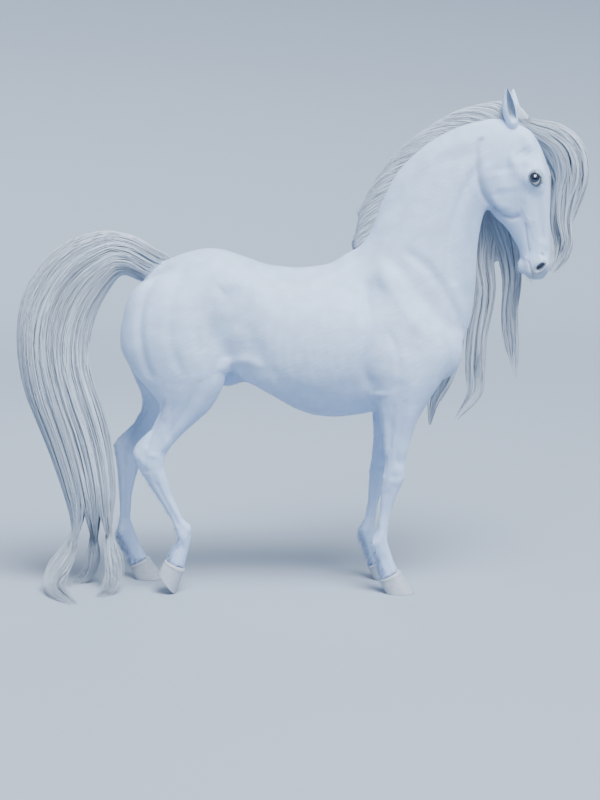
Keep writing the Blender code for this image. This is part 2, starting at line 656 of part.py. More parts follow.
def head_flesh():
    """The head and the upper neck as one skin."""
    made = bmesh.new()
    place = head_place()
    rings = rings_of(HEAD.values(), 4, 28)
    mesh_of_rings([[place @ Vector(point) for point in ring] for ring in rings], made)
    upper = list(NECK)[list(NECK).index("middle") :]
    mesh_of_rings(rings_of([NECK[name] for name in upper], 4, 28), made)
    add_masses(made, HEAD_MASSES, place)
    return fused(made, HEAD_VOXEL, 10, HEAD_TRIANGLES)


def surface_depth(made, origin, direction):
    """How far along a direction a mesh's surface is from a point inside it."""
    return BVHTree.FromBMesh(made).ray_cast(origin, direction)[3]


def eyes(head):
    """The two eyeballs, each set in the head so that a part of it shows, and the head with their sockets."""
    balls = {}
    place = head_place()
    turn = place.to_3x3().normalized()
    for name, side in (("eye_right", -1), ("eye_left", 1)):
        inside = place @ Vector((EYE_AT.x, EYE_AT.y * side * 0.4, EYE_AT.z))
        out = (turn @ Vector((EYE_OUT.x, EYE_OUT.y * side, EYE_OUT.z))).normalized()
        reach = surface_depth(head, inside, out)
        centre = inside + out * (reach - EYE_DEPTH)
        for radius, kind in ((EYE_RADIUS, "ball"), (EYE_RADIUS + GAP, "socket")):
            sphere = bmesh.new()
            bmesh.ops.create_icosphere(
                sphere, subdivisions=2, radius=radius * SPHERE_SWELL, matrix=Matrix.Translation(centre)
            )
            if kind == "ball":
                balls[name] = sphere
            else:
                head = cut(head, sphere)
                sphere.free()
    return head, balls


def ear(side, cup=0.80, swell=1.0):
    """A leaf-shaped shell that stands on the head, hollow in front by a share of its depth."""
    rows = smooth_rows(EAR_WIDTHS, 1)
    outer_turn = np.radians(np.linspace(-60, 240, 7))
    inner_turn = np.radians(np.linspace(222, -42, 4))
    place = head_place() @ Matrix.Translation((EAR_AT.x, EAR_AT.y * side, EAR_AT.z))
    lean = Matrix.Rotation(math.radians(-EAR_SPREAD * side), 4, "X")
    prick = Matrix.Rotation(math.radians(EAR_PRICK), 4, "Y")
    face = Matrix.Rotation(math.radians(EAR_FACE * side), 4, "Z")
    rings = []
    for share, half_width, half_depth in rows:
        hollow = cup * min(1.0, max(0.0, share - 0.10) / 0.25)
        points = [(-math.sin(a), math.cos(a)) for a in outer_turn]
        points += [(0.75 - (0.75 + math.sin(a)) * hollow, 0.72 * math.cos(a)) for a in inner_turn]
        ring = [(x * half_depth * swell, y * half_width * swell, share * EAR_LENGTH) for x, y in points]
        rings.append([place @ lean @ prick @ face @ Vector(p) for p in ring])
    return mesh_of_rings(rings)


def hoof_rim(coronet):
    """The top of a hoof: a little wider than the foot at the coronet, and clear of it."""
    front, back = (Vector((x, 0, z)) for x, z in leg_line(coronet))
    along = (front - back).normalized()
    down = (back - front).normalized().cross(Vector((0, 1, 0))) * CUT
    front, back = front + along * HOOF_RIM + down, back - along * HOOF_RIM + down
    half_width = coronet.half_width + HOOF_RIM
    return coronet._replace(top=(front.x, front.z), bottom=(back.x, back.z), half_width=half_width)


def hooves(all_legs):
    found = {}
    for leg, sections in all_legs.items():
        rows = [hoof_rim(sections["coronet"]), sections["hoof_wall"], sections["hoof_ground"]]
        hoof = mesh_of_rings(rings_of(rows, 1, 18))
        found[f"hoof_{leg}"] = half(hoof, (0, 0, 0), (0, 0, -1))
    return found


def keep_largest(made):
    """The largest piece of a mesh, without the slivers that a cut leaves."""
    parts = loose_parts(made)
    largest = max(parts, key=lambda part: abs(part.calc_volume()))
    for part in parts:
        if part is not largest:
            part.free()
    return largest


def grown(made, distance):
    """A copy of a mesh with its surface moved outwards."""
    copy = made.copy()
    copy.normal_update()
    for vert in copy.verts:
        vert.co += vert.normal * distance
    return copy


def keep_foremost(made):
    """The piece of a mesh that reaches furthest forwards."""
    return max(loose_parts(made), key=lambda part: max(vert.co.x for vert in part.verts))


def clear_of(made, others, clearance=HAIR_GAP):
    """A mesh without what other meshes take up, and a little more all round them."""
    for other in others:
        made = cut(made, grown(other, clearance), "MANIFOLD")
    return keep_largest(made)


def rough(made):
    """A copy of a skin with fewer triangles."""
    thinning = [("DECIMATE", {"ratio": ROUGH_SHARE}), ("TRIANGULATE", {})]
    return applied(new_object("rough", made.copy()), thinning)


def split(made, line):
    """The pieces at the right and at the left hand of someone who walks along a line in the side view."""
    start, end = (Vector((x, 0, z)) for x, z in line)
    left = (end - start).normalized().cross(Vector((0, 1, 0)))
    right_piece = half(made.copy(), start - left * CUT / 2, left)
    left_piece = half(made.copy(), start + left * CUT / 2, -left)
    return right_piece, left_piece


def lengths(made, lines):
    """A mesh parted at each of the lines in turn, from the end at their left hand."""
    found = []
    for line in lines:
        made, length = split(made, line)
        found.append(length)
    return [*found, made]


def leg_line(section):
    """The line across a leg, from its front to its back, at a section."""
    return section.top, section.bottom


def slit(made, lines, half_width):
    """A mesh cut by thin plates along lines in the side view, each as wide as given to both sides."""
    for line in lines:
        cutter = bmesh.new()
        front, back = (Vector((x, 0, z)) for x, z in line)
        size = ((front - back).length / 2, half_width)
        plate(cutter, (front + back) / 2, (front - back).cross(Vector((0, 1, 0))), size)
        made = cut(made, cutter)
    return made


def part_body(body, all_legs):
    """The trunk, the neck, the dock, and the upper and lower length of each leg."""
    cutters = bmesh.new()
    places = {"trunk": (-0.06, 0.0, 1.20), "neck": (0.50, 0.0, 1.65), "tail_dock": (-0.73, 0.0, 1.54)}
    spare = {"upper_neck": (0.88, 0.0, 2.00), "in_tail": (-0.84, 0.0, 1.59)}
    cuts = [
        (NECK_BASE_LINE, 0.0, 0.0, NECK_CUT),
        (DOCK_ROOT_LINE, 0.0, 0.0, DOCK_CUT),
        (DOCK_END_LINE, 0.0, 0.0, DOCK_CUT),
    ]
    for leg, sections in all_legs.items():
        kind, side = leg.split("_")
        top, lower = LEG_TOP_LINES[kind], sections[LEG_LOWER_CUTS[kind]]
        cuts.append((top, -LEG_TOP_Y if side == "right" else LEG_TOP_Y, 0.0, LEG_TOP_CUT))
        cuts.append((leg_line(lower), lower.y, LEG_REACH, LEG_CUT))
        cuts.append((leg_line(sections["coronet"]), lower.y, FOOT_REACH, LEG_CUT))
        ends = {"upper": (*top, lower.top), "lower": (*leg_line(lower), *leg_line(sections["coronet"]))}
        for length, corners in ends.items():
            x, z = np.mean(corners, axis=0)
            places[f"{kind}leg_{side}_{length}"] = (x, lower.y, z)
        foot = sections["in_hoof"]
        spare[f"in_hoof_{leg}"] = (foot.top[0], foot.y, foot.bottom[1])
    for line, y, reach, half_width in cuts:
        front, back = (Vector((x, y, z)) for x, z in line)
        span = front - back
        size = (span.length / 2 + reach, half_width)
        plate(cutters, (front + back) / 2, span.cross(Vector((0, 1, 0))), size)
    parts = named_parts(slit(cut(body, cutters), HEAD_LINES, HEAD_CUT), places | spare)
    return {name: parts[name] for name in places}


def hair(flesh_solids):
    """The crest and locks of the mane, the forelock and the lengths of the tail."""
    solid = [*(rough(made) for made in flesh_solids), *(ear(side, 0.0, EAR_ROOM) for side in (-1, 1))]
    found = {}
    crest, rest = split(mesh_of_rings(rings_of(CREST.values(), 1, 10)), CREST_END_LINE)
    rest, forelock = split(mesh_of_rings(lock_rings(FORELOCK, 1, 10)), FORELOCK_LINE)
    found["mane_crest"] = clear_of(crest, solid)
    found["forelock"] = clear_of(forelock, solid)
    for i, points in enumerate(MANE_LOCKS):
        lock = mesh_of_rings(lock_rings(points, 1, 8))
        done = [piece for name, piece in found.items() if name.startswith("mane")]
        found[f"mane_lock_{i + 1}"] = clear_of(lock, [*solid, *done])
    tail = mesh_of_rings(rings_of(TAIL.values(), 2, 12))
    for name, length in zip(TAIL_LENGTHS, lengths(tail, TAIL_LINES)):
        found[name] = length
    for name, points in TAIL_TIPS.items():
        tip = half(mesh_of_rings(lock_rings(points, 2, 6)), (0, 0, 0), (0, 0, -1))
        done = [piece for other, piece in found.items() if other.startswith("tail")]
        found[name] = clear_of(tip, done)
    return found


def material(name, colour, roughness):
    made = bpy.data.materials.new(name)
    made.use_nodes = True
    shader = made.node_tree.nodes["Principled BSDF"]
    shader.inputs["Base Color"].default_value = (*colour, 1.0)
    shader.inputs["Roughness"].default_value = roughness
    shader.inputs["Metallic"].default_value = 0.0
    made.diffuse_color = (*colour, 1.0)
    return made


def finish_of(name):
    """The colour and roughness of a piece, from its name."""
    return next(look for start, look in LOOKS.items() if name.startswith(start))


def build():
    for obj in list(bpy.data.objects):
        bpy.data.objects.remove(obj)
    all_legs = legs()
    whole_body, whole_head = body_flesh(all_legs), head_flesh()
    parts = part_body(whole_body.copy(), all_legs)
    head, eyeballs = eyes(keep_foremost(slit(whole_head.copy(), HEAD_LINES, HEAD_CUT)))
    parts["head"] = head
    ears = {f"ear_{name}": clear_of(ear(side), [head], GAP) for name, side in (("right", -1), ("left", 1))}
    parts.update(hair([whole_body, whole_head]) | ears | eyeballs | hooves(all_legs))
    points = np.array([vert.co for part in parts.values() for vert in part.verts])
    centre = (points.min(0) + points.max(0)) / 2
    for name, part in parts.items():
        bmesh.ops.translate(part, verts=part.verts, vec=(-centre[0], -centre[1], 0.0))
        face_out(part)
        obj = new_object(name, part)
        obj.data.shade_smooth()
        obj.data.set_sharp_from_angle(angle=math.radians(40))
        obj.data.materials.append(material(name, *finish_of(name)))


build()
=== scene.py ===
import math

import bmesh
import bpy
import numpy as np
from mathutils import Matrix, Vector


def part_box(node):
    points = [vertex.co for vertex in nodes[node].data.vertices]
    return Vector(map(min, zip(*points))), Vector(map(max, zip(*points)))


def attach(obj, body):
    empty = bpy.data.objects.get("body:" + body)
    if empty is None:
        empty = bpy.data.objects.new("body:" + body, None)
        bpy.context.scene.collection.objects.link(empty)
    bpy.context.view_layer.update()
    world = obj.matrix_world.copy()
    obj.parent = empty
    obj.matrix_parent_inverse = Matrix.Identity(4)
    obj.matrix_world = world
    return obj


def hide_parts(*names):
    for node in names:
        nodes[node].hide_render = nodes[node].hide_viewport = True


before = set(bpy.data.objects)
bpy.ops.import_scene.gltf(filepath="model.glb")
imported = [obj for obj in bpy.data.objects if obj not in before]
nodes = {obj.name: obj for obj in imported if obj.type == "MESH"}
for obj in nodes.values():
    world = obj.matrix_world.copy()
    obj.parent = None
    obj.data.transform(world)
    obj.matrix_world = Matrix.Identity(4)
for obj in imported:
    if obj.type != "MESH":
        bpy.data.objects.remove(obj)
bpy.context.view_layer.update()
chance = np.random.default_rng(11)

# The tables below have their own middle plane; its place against the box shows in the right fore hoof.
hoofTable = {"toe": 0.5231, "middle": -0.135}
hoofLow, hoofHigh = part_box("hoof_fore_right")
hoofMiddle = (hoofLow.y + hoofHigh.y) / 2
bodyShift = np.array([hoofHigh.x - hoofTable["toe"], hoofMiddle - hoofTable["middle"], 0.0])
fleshNodes = ["trunk", "neck", "head", "ear_left", "ear_right", "tail_dock"]
fleshNodes += [f"{kind}leg_{side}_{end}" for kind in ("fore", "hind") for side in ("left", "right")
               for end in ("upper", "lower")]


def readVectors(collection, field, size=3, kind=np.float32):
    flat = np.empty(size * len(collection), kind)
    collection.foreach_get(field, flat)
    return flat.reshape(-1, size)


def pointsOf(mesh):
    return readVectors(mesh.vertices, "co").astype(np.float64)


def normalsOf(mesh):
    return readVectors(mesh.vertex_normals, "vector").astype(np.float64)


def setPoints(mesh, points):
    mesh.vertices.foreach_set("co", points.astype(np.float32).ravel())
    mesh.update()


def smoothShaded(mesh):
    mesh.polygons.foreach_set("use_smooth", np.ones(len(mesh.polygons), bool))
    return mesh


# A smooth mesh from points and faces, which are one array or a list of arrays for triangles and quads.
def makeMesh(name, points, faces):
    faces = [np.asarray(group) for group in (faces if isinstance(faces, list) else [faces])]
    mesh = bpy.data.meshes.new(name)
    corners = np.concatenate([group.ravel() for group in faces]).astype(np.int32)
    sizes = np.concatenate([np.full(len(group), group.shape[1]) for group in faces])
    mesh.vertices.add(len(points))
    mesh.vertices.foreach_set("co", np.asarray(points, np.float32).ravel())
    mesh.loops.add(len(corners))
    mesh.loops.foreach_set("vertex_index", corners)
    mesh.polygons.add(len(sizes))
    mesh.polygons.foreach_set("loop_start", (np.cumsum(sizes) - sizes).astype(np.int32))
    mesh.update(calc_edges=True)
    return smoothShaded(mesh)


def makeObject(name, mesh, material=None):
    made = bpy.data.objects.new(name, mesh)
    bpy.context.scene.collection.objects.link(made)
    if material:
        mesh.materials.append(material)
    return made


# The mesh after Blender's modifiers, each given as its type and settings.
def applied(name, mesh, modifiers):
    holder = makeObject(name, mesh)
    for kind, settings in modifiers:
        modifier = holder.modifiers.new(kind, kind)
        for key, value in settings.items():
            setattr(modifier, key, value)
    graph = bpy.context.evaluated_depsgraph_get()
    result = bpy.data.meshes.new_from_object(holder.evaluated_get(graph))
    bpy.data.objects.remove(holder)
    bpy.data.meshes.remove(mesh)
    return result


# Several meshes as one, after a change to it in bmesh; the meshes themselves go.
def reworked(name, meshes, change=None):
    made = bmesh.new()
    for mesh in meshes:
        made.from_mesh(mesh)
        bpy.data.meshes.remove(mesh)
    if change:
        change(made)
    result = bpy.data.meshes.new(name)
    made.to_mesh(result)
    made.free()
    return result


def mergeWithin(gap):
    return lambda made: bmesh.ops.remove_doubles(made, verts=made.verts, dist=gap)


def solidsOf(name, nodeNames):
    return reworked(name, [nodes[node].data.copy() for node in nodeNames], mergeWithin(1e-6))


def unit(vectors):
    return vectors / np.maximum(np.linalg.norm(vectors, axis=-1, keepdims=True), 1e-12)


# 0 below low, 1 above high, with a smooth S between.
def ease(x, low=0.0, high=1.0):
    t = np.clip((x - low) / (high - low), 0, 1)
    return t * t * (3 - 2 * t)


def bell(x):
    return np.exp(-0.5 * np.square(x))


# A Catmull-Rom curve through the rows, with so many steps from each to the next.
def smoothRows(rows, steps):
    rows = np.asarray(rows, float)
    padded = np.vstack([2 * rows[0] - rows[1], rows, 2 * rows[-1] - rows[-2]])
    p, a, b, q = (padded[i:len(padded) - 3 + i, None] for i in range(4))
    t = (np.arange(steps) / steps)[None, :, None]
    curve = a + 0.5 * t * (b - p + t * (2 * p - 5 * a + 4 * b - q + t * (3 * a - p - 3 * b + q)))
    return np.vstack([curve.reshape(-1, rows.shape[1]), rows[-1:]])


# The row at a share from 0 to 1 of a table of rows, on the same smooth curve.
def along(rows, share):
    fine = smoothRows(rows, 8)
    at = np.clip(share, 0, 1) * (len(fine) - 1)
    low = np.minimum(at.astype(int), len(fine) - 2)
    part = (at - low)[..., None]
    return fine[low] * (1 - part) + fine[low + 1] * part


# Which points of a mesh are joined by an edge, to even values out over them.
class Net:
    pull = 0.6  # how far a value goes to its neighbours' mean in one round

    def __init__(self, mesh):
        a, b = readVectors(mesh.edges, "vertices", 2, np.int32).T
        start, end = np.concatenate([a, b]), np.concatenate([b, a])
        self.order = end[np.argsort(start, kind="stable")]
        self.count = np.bincount(start, minlength=len(mesh.vertices))
        self.first = np.cumsum(self.count) - self.count

    def mean(self, values):
        total = np.add.reduceat(values[self.order], self.first, axis=0)
        return total / self.count.reshape((-1,) + (1,) * (values.ndim - 1))

    # Values drawn to their neighbours' mean again and again; rounds is a number, or one for each point.
    def relaxed(self, values, rounds, most=None):
        for done in range(most or rounds):
            weight = np.clip(rounds - done, 0.0, 1.0) * self.pull
            values = values + weight.reshape((-1,) + (1,) * (values.ndim - 1)) * (self.mean(values) - values)
        return values


headPose = {"poll": (0.985, -0.010, 2.185), "yaw": -17, "pitch": -8, "length": 0.745, "tableLength": 0.70}


def spun(degrees, axis, size=4):
    return Matrix.Rotation(math.radians(degrees), size, axis)


headPlace = (Matrix.Translation(Vector(headPose["poll"]) + Vector(bodyShift))
             @ spun(headPose["yaw"], "Z") @ spun(headPose["pitch"], "Y")
             @ Matrix.Scale(headPose["length"] / headPose["tableLength"], 4))
headTurn = np.array(headPlace.to_3x3().normalized())


# Points moved by a matrix.
def placed(matrix, points):
    m = np.array(matrix)
    return points @ m[:3, :3].T + m[:3, 3]


# Side-view points turned about a pivot.
def turned(points, pivot, degrees):
    c, s = math.cos(math.radians(degrees)), math.sin(math.radians(degrees))
    return (points - pivot) @ np.array([[c, s], [-s, c]]) + pivot


hindJoints = {  # where each joint of the resting leg is, how far it bends, and the row that it carries first
    "hip": ((-0.52, 1.35), 6.0, 2), "stifle": ((-0.47, 1.02), -2.0, 4), "hock": ((-0.80, 0.60), 25.0, 9),
    "fetlock": ((-0.845, 0.235), -70.0, 14), "coffin": ((-0.773, 0.095), -13.0, 15)}
restDrop = 0.0  # how far the resting leg comes down, found below from its own hoof
legSlide = {"fore": -0.045, "hind": 0.06}  # the left foreleg stands back, the right hind leg forward


# Side-view points of a standing leg, moved as the leg's row of that number is in this pose.
def legPoints(points, kind, side, row):
    points = np.asarray(points, float)
    if (kind, side) == ("fore", "left"):
        return points + [legSlide[kind] * min(1, row / 7) ** 2, 0]
    if (kind, side) == ("hind", "right"):
        pivots = {joint: np.array(at) for joint, (at, _, _) in hindJoints.items()}
        for joint, (_, angle, first) in hindJoints.items():
            if row >= first:
                points = turned(points, pivots[joint], angle)
            later = list(hindJoints)[list(hindJoints).index(joint) + 1:]
            pivots.update({name: turned(pivots[name], pivots[joint], angle) for name in later})
        return points + np.array([legSlide[kind], restDrop]) * min(1, row / 5) ** 2
    return points


hoofRows = {  # front and back, half width, and how square the back is, from the coronet to the ground
    "fore": [((0.450, 0.106), (0.364, 0.062), 0.0450, 2.0), ((0.487, 0.054), (0.372, 0.028), 0.0550, 2.4),
             ((0.524, 0.000), (0.386, 0.000), 0.0615, 2.6)],
    "hind": [((-0.743, 0.106), (-0.826, 0.062), 0.0435, 2.0),
             ((-0.706, 0.054), (-0.818, 0.028), 0.0520, 2.4),
             ((-0.671, 0.000), (-0.804, 0.000), 0.0575, 2.6)]}
legMiddle = {"fore": 0.135, "hind": 0.141}
hoofRow = 18  # the leg row that carries the hoof
toeDepth = 0.006  # the resting toe is pressed flat by so much
hindHoof = [place for section in hoofRows["hind"] for place in section[:2]]
restGround = legPoints(hindHoof, "hind", "right", hoofRow)
restDrop = -toeDepth - restGround[:, 1].min()

print("places ready")

skin = {
    "grid": 0.006, "swell": 0.0008, "coatDepth": 0.0030, "triangles": 165000,
    "roundsBody": 110, "roundsLegs": 10, "roundsHead": 16, "finerBelow": (0.05, -0.16),
    "relief": 1.40, "legRelief": 1.2, "croupGroove": 0.0075, "thighGroove": 0.0300, "breastGroove": 0.0130,
}


def headLocal(points):
    return placed(headPlace.inverted(), points)


parts = {  # where the head and the legs begin, and where they are wholly themselves
    "jaw": (-0.33, -0.22), "throat": (0.80, 0.92), "foreleg": (-1.02, -0.70), "hindleg": (-1.00, -0.66),
    "fromMiddle": (0.10, 0.20),
}


# How much each point belongs to the head and to the legs, as shares from 0 to 1.
def region(points):
    p = points - bodyShift
    local = headLocal(points)
    head = ease(local[:, 0] + 0.25 * local[:, 2], *parts["jaw"]) * ease(p[:, 0], *parts["throat"])
    fore = ease(-p[:, 2], *parts["foreleg"]) * ease(p[:, 0], *parts["fromMiddle"])
    hind = ease(-p[:, 2], *parts["hindleg"]) * ease(-p[:, 0], *parts["fromMiddle"])
    return head, np.maximum(fore, hind) * (1 - head)


# The flesh's solids, each a little swollen so that they overlap, are fused on a fine grid, relaxed until no
# facet shows, then moved back out to the solids' own level.
def baseSkin():
    names = [name for name in fleshNodes if not name.startswith("ear")] + ["eye_left", "eye_right"]
    fused = solidsOf("fused", names)
    setPoints(fused, pointsOf(fused) + skin["swell"] * normalsOf(fused))
    fused = applied("fused", fused, [("REMESH", {"mode": "VOXEL", "voxel_size": skin["grid"]})])
    net, first = Net(fused), pointsOf(fused)
    head, legs = region(first)
    rounds = skin["roundsBody"] * (1 - np.maximum(head, legs)) ** 2
    rounds = np.maximum(rounds, skin["roundsLegs"] * legs + skin["roundsHead"] * head)
    points = net.relaxed(first, rounds, skin["roundsBody"])
    setPoints(fused, points)
    normal = normalsOf(fused)
    lift = net.relaxed(((first - points) * normal).sum(1), rounds * 1.5, skin["roundsBody"])
    setPoints(fused, points + normal * (lift - skin["swell"] - skin["coatDepth"])[:, None])
    return fused


skinMesh = baseSkin()
print("base skin", len(skinMesh.vertices), "points")


# The mesh with the edges between chosen points cut in two, and so the faces among them in four.
def finer(mesh, chosen):
    def cut(made):
        made.verts.ensure_lookup_table()
        edges = [edge for edge in made.edges if chosen[edge.verts[0].index] and chosen[edge.verts[1].index]]
        bmesh.ops.subdivide_edges(made, edges=edges, cuts=1, use_grid_fill=True)
        bmesh.ops.triangulate(made, faces=[face for face in made.faces if len(face.verts) > 4])
    return smoothShaded(reworked("skin", [mesh], cut))


for limit in skin["finerBelow"][:2]:
    places = pointsOf(skinMesh)
    skinMesh = finer(skinMesh, (region(places)[0] > 0.6) & (headLocal(places)[:, 2] < limit))
skinNet = Net(skinMesh)
print("finer head", len(skinMesh.vertices), "points")


# 1 on a smooth path and a bell curve over its width away from it, fading towards the path's two ends.
def nearPath(points, path, width):
    path = smoothRows(path, 4)
    middle, reach = path.mean(0), np.ptp(path, axis=0).max() / 2 + 3.2 * width
    close = np.flatnonzero((np.abs(points - middle) < reach).all(1))
    near = np.zeros(len(points))
    if not len(close):
        return near
    p, best, place = points[close], np.full(len(close), np.inf), np.zeros(len(close))
    steps = np.linalg.norm(np.diff(path, axis=0), axis=1)
    passed, length = 0.0, steps.sum()
    for start, end, step in zip(path[:-1], path[1:], steps):
        share = np.clip(((p - start) @ (end - start)) / step**2, 0, 1)
        gap = ((p - start - share[:, None] * (end - start)) ** 2).sum(1)
        better = gap < best
        best[better] = gap[better]
        place[better] = (passed + share[better] * step) / length
        passed += step
    fade = min(0.3, 3.0 * width / length)
    near[close] = np.exp(-0.5 * best / width**2) * ease(place, -0.02, fade) * ease(1 - place, -0.02, fade)
    return near


# Each line of a muscle, bone or vein in the side view: places, half width and height, below 0 for a groove.
shoulderGroove = ((0.300, 1.47), (0.292, 1.36), (0.306, 1.26), (0.303, 1.16), (0.285, 1.06), (0.320, 0.96))
bodyLines = [
    (((0.338, 1.50), (0.42, 1.39), (0.50, 1.27), (0.575, 1.19)), 0.018, 0.0035),  # spine of the shoulder
    (shoulderGroove, 0.017, -0.0075),
    (((0.45, 1.60), (0.56, 1.52), (0.645, 1.41), (0.705, 1.30), (0.735, 1.19)), 0.018, -0.0065),
    (((0.36, 1.59), (0.46, 1.48), (0.56, 1.36), (0.63, 1.24)), 0.022, -0.0030),
    (((0.34, 1.34), (0.37, 1.20), (0.405, 1.08)), 0.045, 0.0060),  # long head of the triceps
    (((0.47, 1.16), (0.455, 1.06), (0.425, 0.99)), 0.032, 0.0050),
    (((0.385, 1.24), (0.43, 1.13), (0.435, 1.01), (0.40, 0.96)), 0.011, -0.0035),
    (((0.52, 1.18), (0.53, 1.08), (0.50, 0.98)), 0.014, -0.0030),
    (((0.88, 2.015), (0.79, 1.955), (0.70, 1.770), (0.67, 1.615), (0.69, 1.43)), 0.014, -0.0060),  # jugular
    (((0.86, 2.045), (0.74, 1.94), (0.645, 1.75), (0.615, 1.58), (0.62, 1.45)), 0.036, 0.0050),
    (((0.86, 1.98), (0.80, 1.87), (0.755, 1.70), (0.745, 1.53), (0.765, 1.38)), 0.028, 0.0040),
    (((0.42, 1.84), (0.54, 1.97), (0.70, 2.07), (0.86, 2.10)), 0.030, 0.0035),
    (((0.37, 1.72), (0.48, 1.86), (0.62, 1.98), (0.80, 2.04)), 0.020, -0.0030),
    (((0.795, 2.05), (0.775, 1.95), (0.785, 1.86)), 0.009, -0.0028),  # wrinkles behind the jaw
    (((0.765, 2.03), (0.745, 1.94), (0.752, 1.85)), 0.009, -0.0020),
    (((0.20, 0.90), (0.05, 0.935), (-0.10, 1.01), (-0.20, 1.12), (-0.245, 1.27), (-0.235, 1.38)),
     0.026, -0.0035),
    (((-0.16, 1.06), (-0.25, 1.10), (-0.33, 1.085), (-0.375, 1.04)), 0.016, 0.0055),  # fold of the flank
    (((-0.215, 1.44), (-0.27, 1.38), (-0.29, 1.28), (-0.30, 1.19)), 0.040, -0.0085),  # hollow of the flank
    (((-0.36, 1.44), (-0.385, 1.32), (-0.405, 1.20)), 0.026, 0.0045),
    (((-0.40, 1.50), (-0.455, 1.38), (-0.475, 1.24), (-0.455, 1.12)), 0.014, -0.0035),
    (((-0.52, 1.54), (-0.58, 1.42), (-0.60, 1.27), (-0.575, 1.12), (-0.53, 1.02)), 0.017, -0.0040),
    (((-0.655, 1.50), (-0.715, 1.38), (-0.735, 1.24), (-0.715, 1.10), (-0.675, 1.00)), 0.016, -0.0075),
    (((-0.30, 1.45), (-0.335, 1.44), (-0.365, 1.415)), 0.024, 0.0060),  # point of the hip
]
ribs = {"count": 9, "first": 0.235, "apart": 0.047, "width": 0.0095, "rise": 0.0009}  # just felt
for number in range(ribs["count"]):
    top = ribs["first"] - ribs["apart"] * number
    bodyLines.append((((top, 1.36), (top - 0.022, 1.22), (top - 0.020, 1.08), (top + 0.012, 0.97)),
                      ribs["width"], ribs["rise"]))

# The same on the legs, each with the row of the leg that it moves with.
legLines = {
    "fore": [
        (8, ((0.345, 0.955), (0.350, 0.925)), 0.022, 0.0070),  # point of the elbow
        (8, ((0.505, 0.90), (0.482, 0.79), (0.462, 0.69), (0.452, 0.62)), 0.020, 0.0045),
        (8, ((0.470, 0.92), (0.446, 0.80), (0.432, 0.69), (0.430, 0.61)), 0.0070, -0.0034),
        (8, ((0.415, 0.90), (0.405, 0.79), (0.402, 0.69), (0.400, 0.61)), 0.0065, -0.0028),
        (8, ((0.378, 0.88), (0.378, 0.76), (0.388, 0.65)), 0.012, 0.0030),
        (8, ((0.400, 0.580), (0.440, 0.588), (0.468, 0.580)), 0.0090, 0.0022),  # rows of the knee's bones
        (8, ((0.395, 0.552), (0.435, 0.556), (0.470, 0.550)), 0.0045, -0.0022),
        (8, ((0.395, 0.527), (0.435, 0.528), (0.465, 0.522)), 0.0090, 0.0022),
        (8, ((0.372, 0.565), (0.366, 0.535)), 0.0090, 0.0035),
        (9, ((0.398, 0.495), (0.388, 0.42), (0.378, 0.34), (0.365, 0.275)), 0.0055, -0.0042),
        (9, ((0.382, 0.480), (0.372, 0.40), (0.362, 0.33)), 0.0035, -0.0020),
        (12, ((0.352, 0.262), (0.336, 0.238), (0.340, 0.215)), 0.0120, 0.0035),
        (12, ((0.372, 0.255), (0.372, 0.228), (0.380, 0.200)), 0.0060, -0.0024),
        (13, ((0.372, 0.190), (0.388, 0.150), (0.404, 0.115)), 0.0060, -0.0016)],
    "hind": [
        (3, ((-0.392, 1.085), (-0.400, 1.045), (-0.418, 1.005)), 0.022, 0.0060),  # stifle
        (3, ((-0.425, 1.10), (-0.445, 1.04), (-0.462, 0.98)), 0.012, -0.0045),
        (5, ((-0.500, 0.965), (-0.560, 0.87), (-0.640, 0.775), (-0.715, 0.695)), 0.016, 0.0035),
        (5, ((-0.555, 0.975), (-0.615, 0.87), (-0.685, 0.775), (-0.745, 0.700)), 0.0085, -0.0042),
        (5, ((-0.640, 0.960), (-0.700, 0.86), (-0.755, 0.77)), 0.016, 0.0035),
        (5, ((-0.735, 0.895), (-0.772, 0.80), (-0.812, 0.72), (-0.838, 0.665)), 0.0085, -0.0075),
        (8, ((-0.868, 0.665), (-0.884, 0.640), (-0.886, 0.605)), 0.0100, 0.0035),
        (8, ((-0.805, 0.645), (-0.812, 0.615)), 0.0140, 0.0042),
        (8, ((-0.845, 0.655), (-0.848, 0.600), (-0.845, 0.545)), 0.0070, -0.0032),
        (8, ((-0.790, 0.570), (-0.830, 0.560), (-0.865, 0.555)), 0.0050, -0.0018),
        (9, ((-0.846, 0.520), (-0.852, 0.43), (-0.855, 0.34), (-0.858, 0.275)), 0.0055, -0.0042),
        (9, ((-0.866, 0.500), (-0.869, 0.42), (-0.870, 0.34)), 0.0035, -0.0020),
        (13, ((-0.858, 0.258), (-0.872, 0.232), (-0.866, 0.208)), 0.0120, 0.0035),
        (13, ((-0.838, 0.250), (-0.836, 0.222), (-0.828, 0.196)), 0.0060, -0.0024),
        (14, ((-0.820, 0.188), (-0.806, 0.150), (-0.792, 0.115)), 0.0060, -0.0016)]}

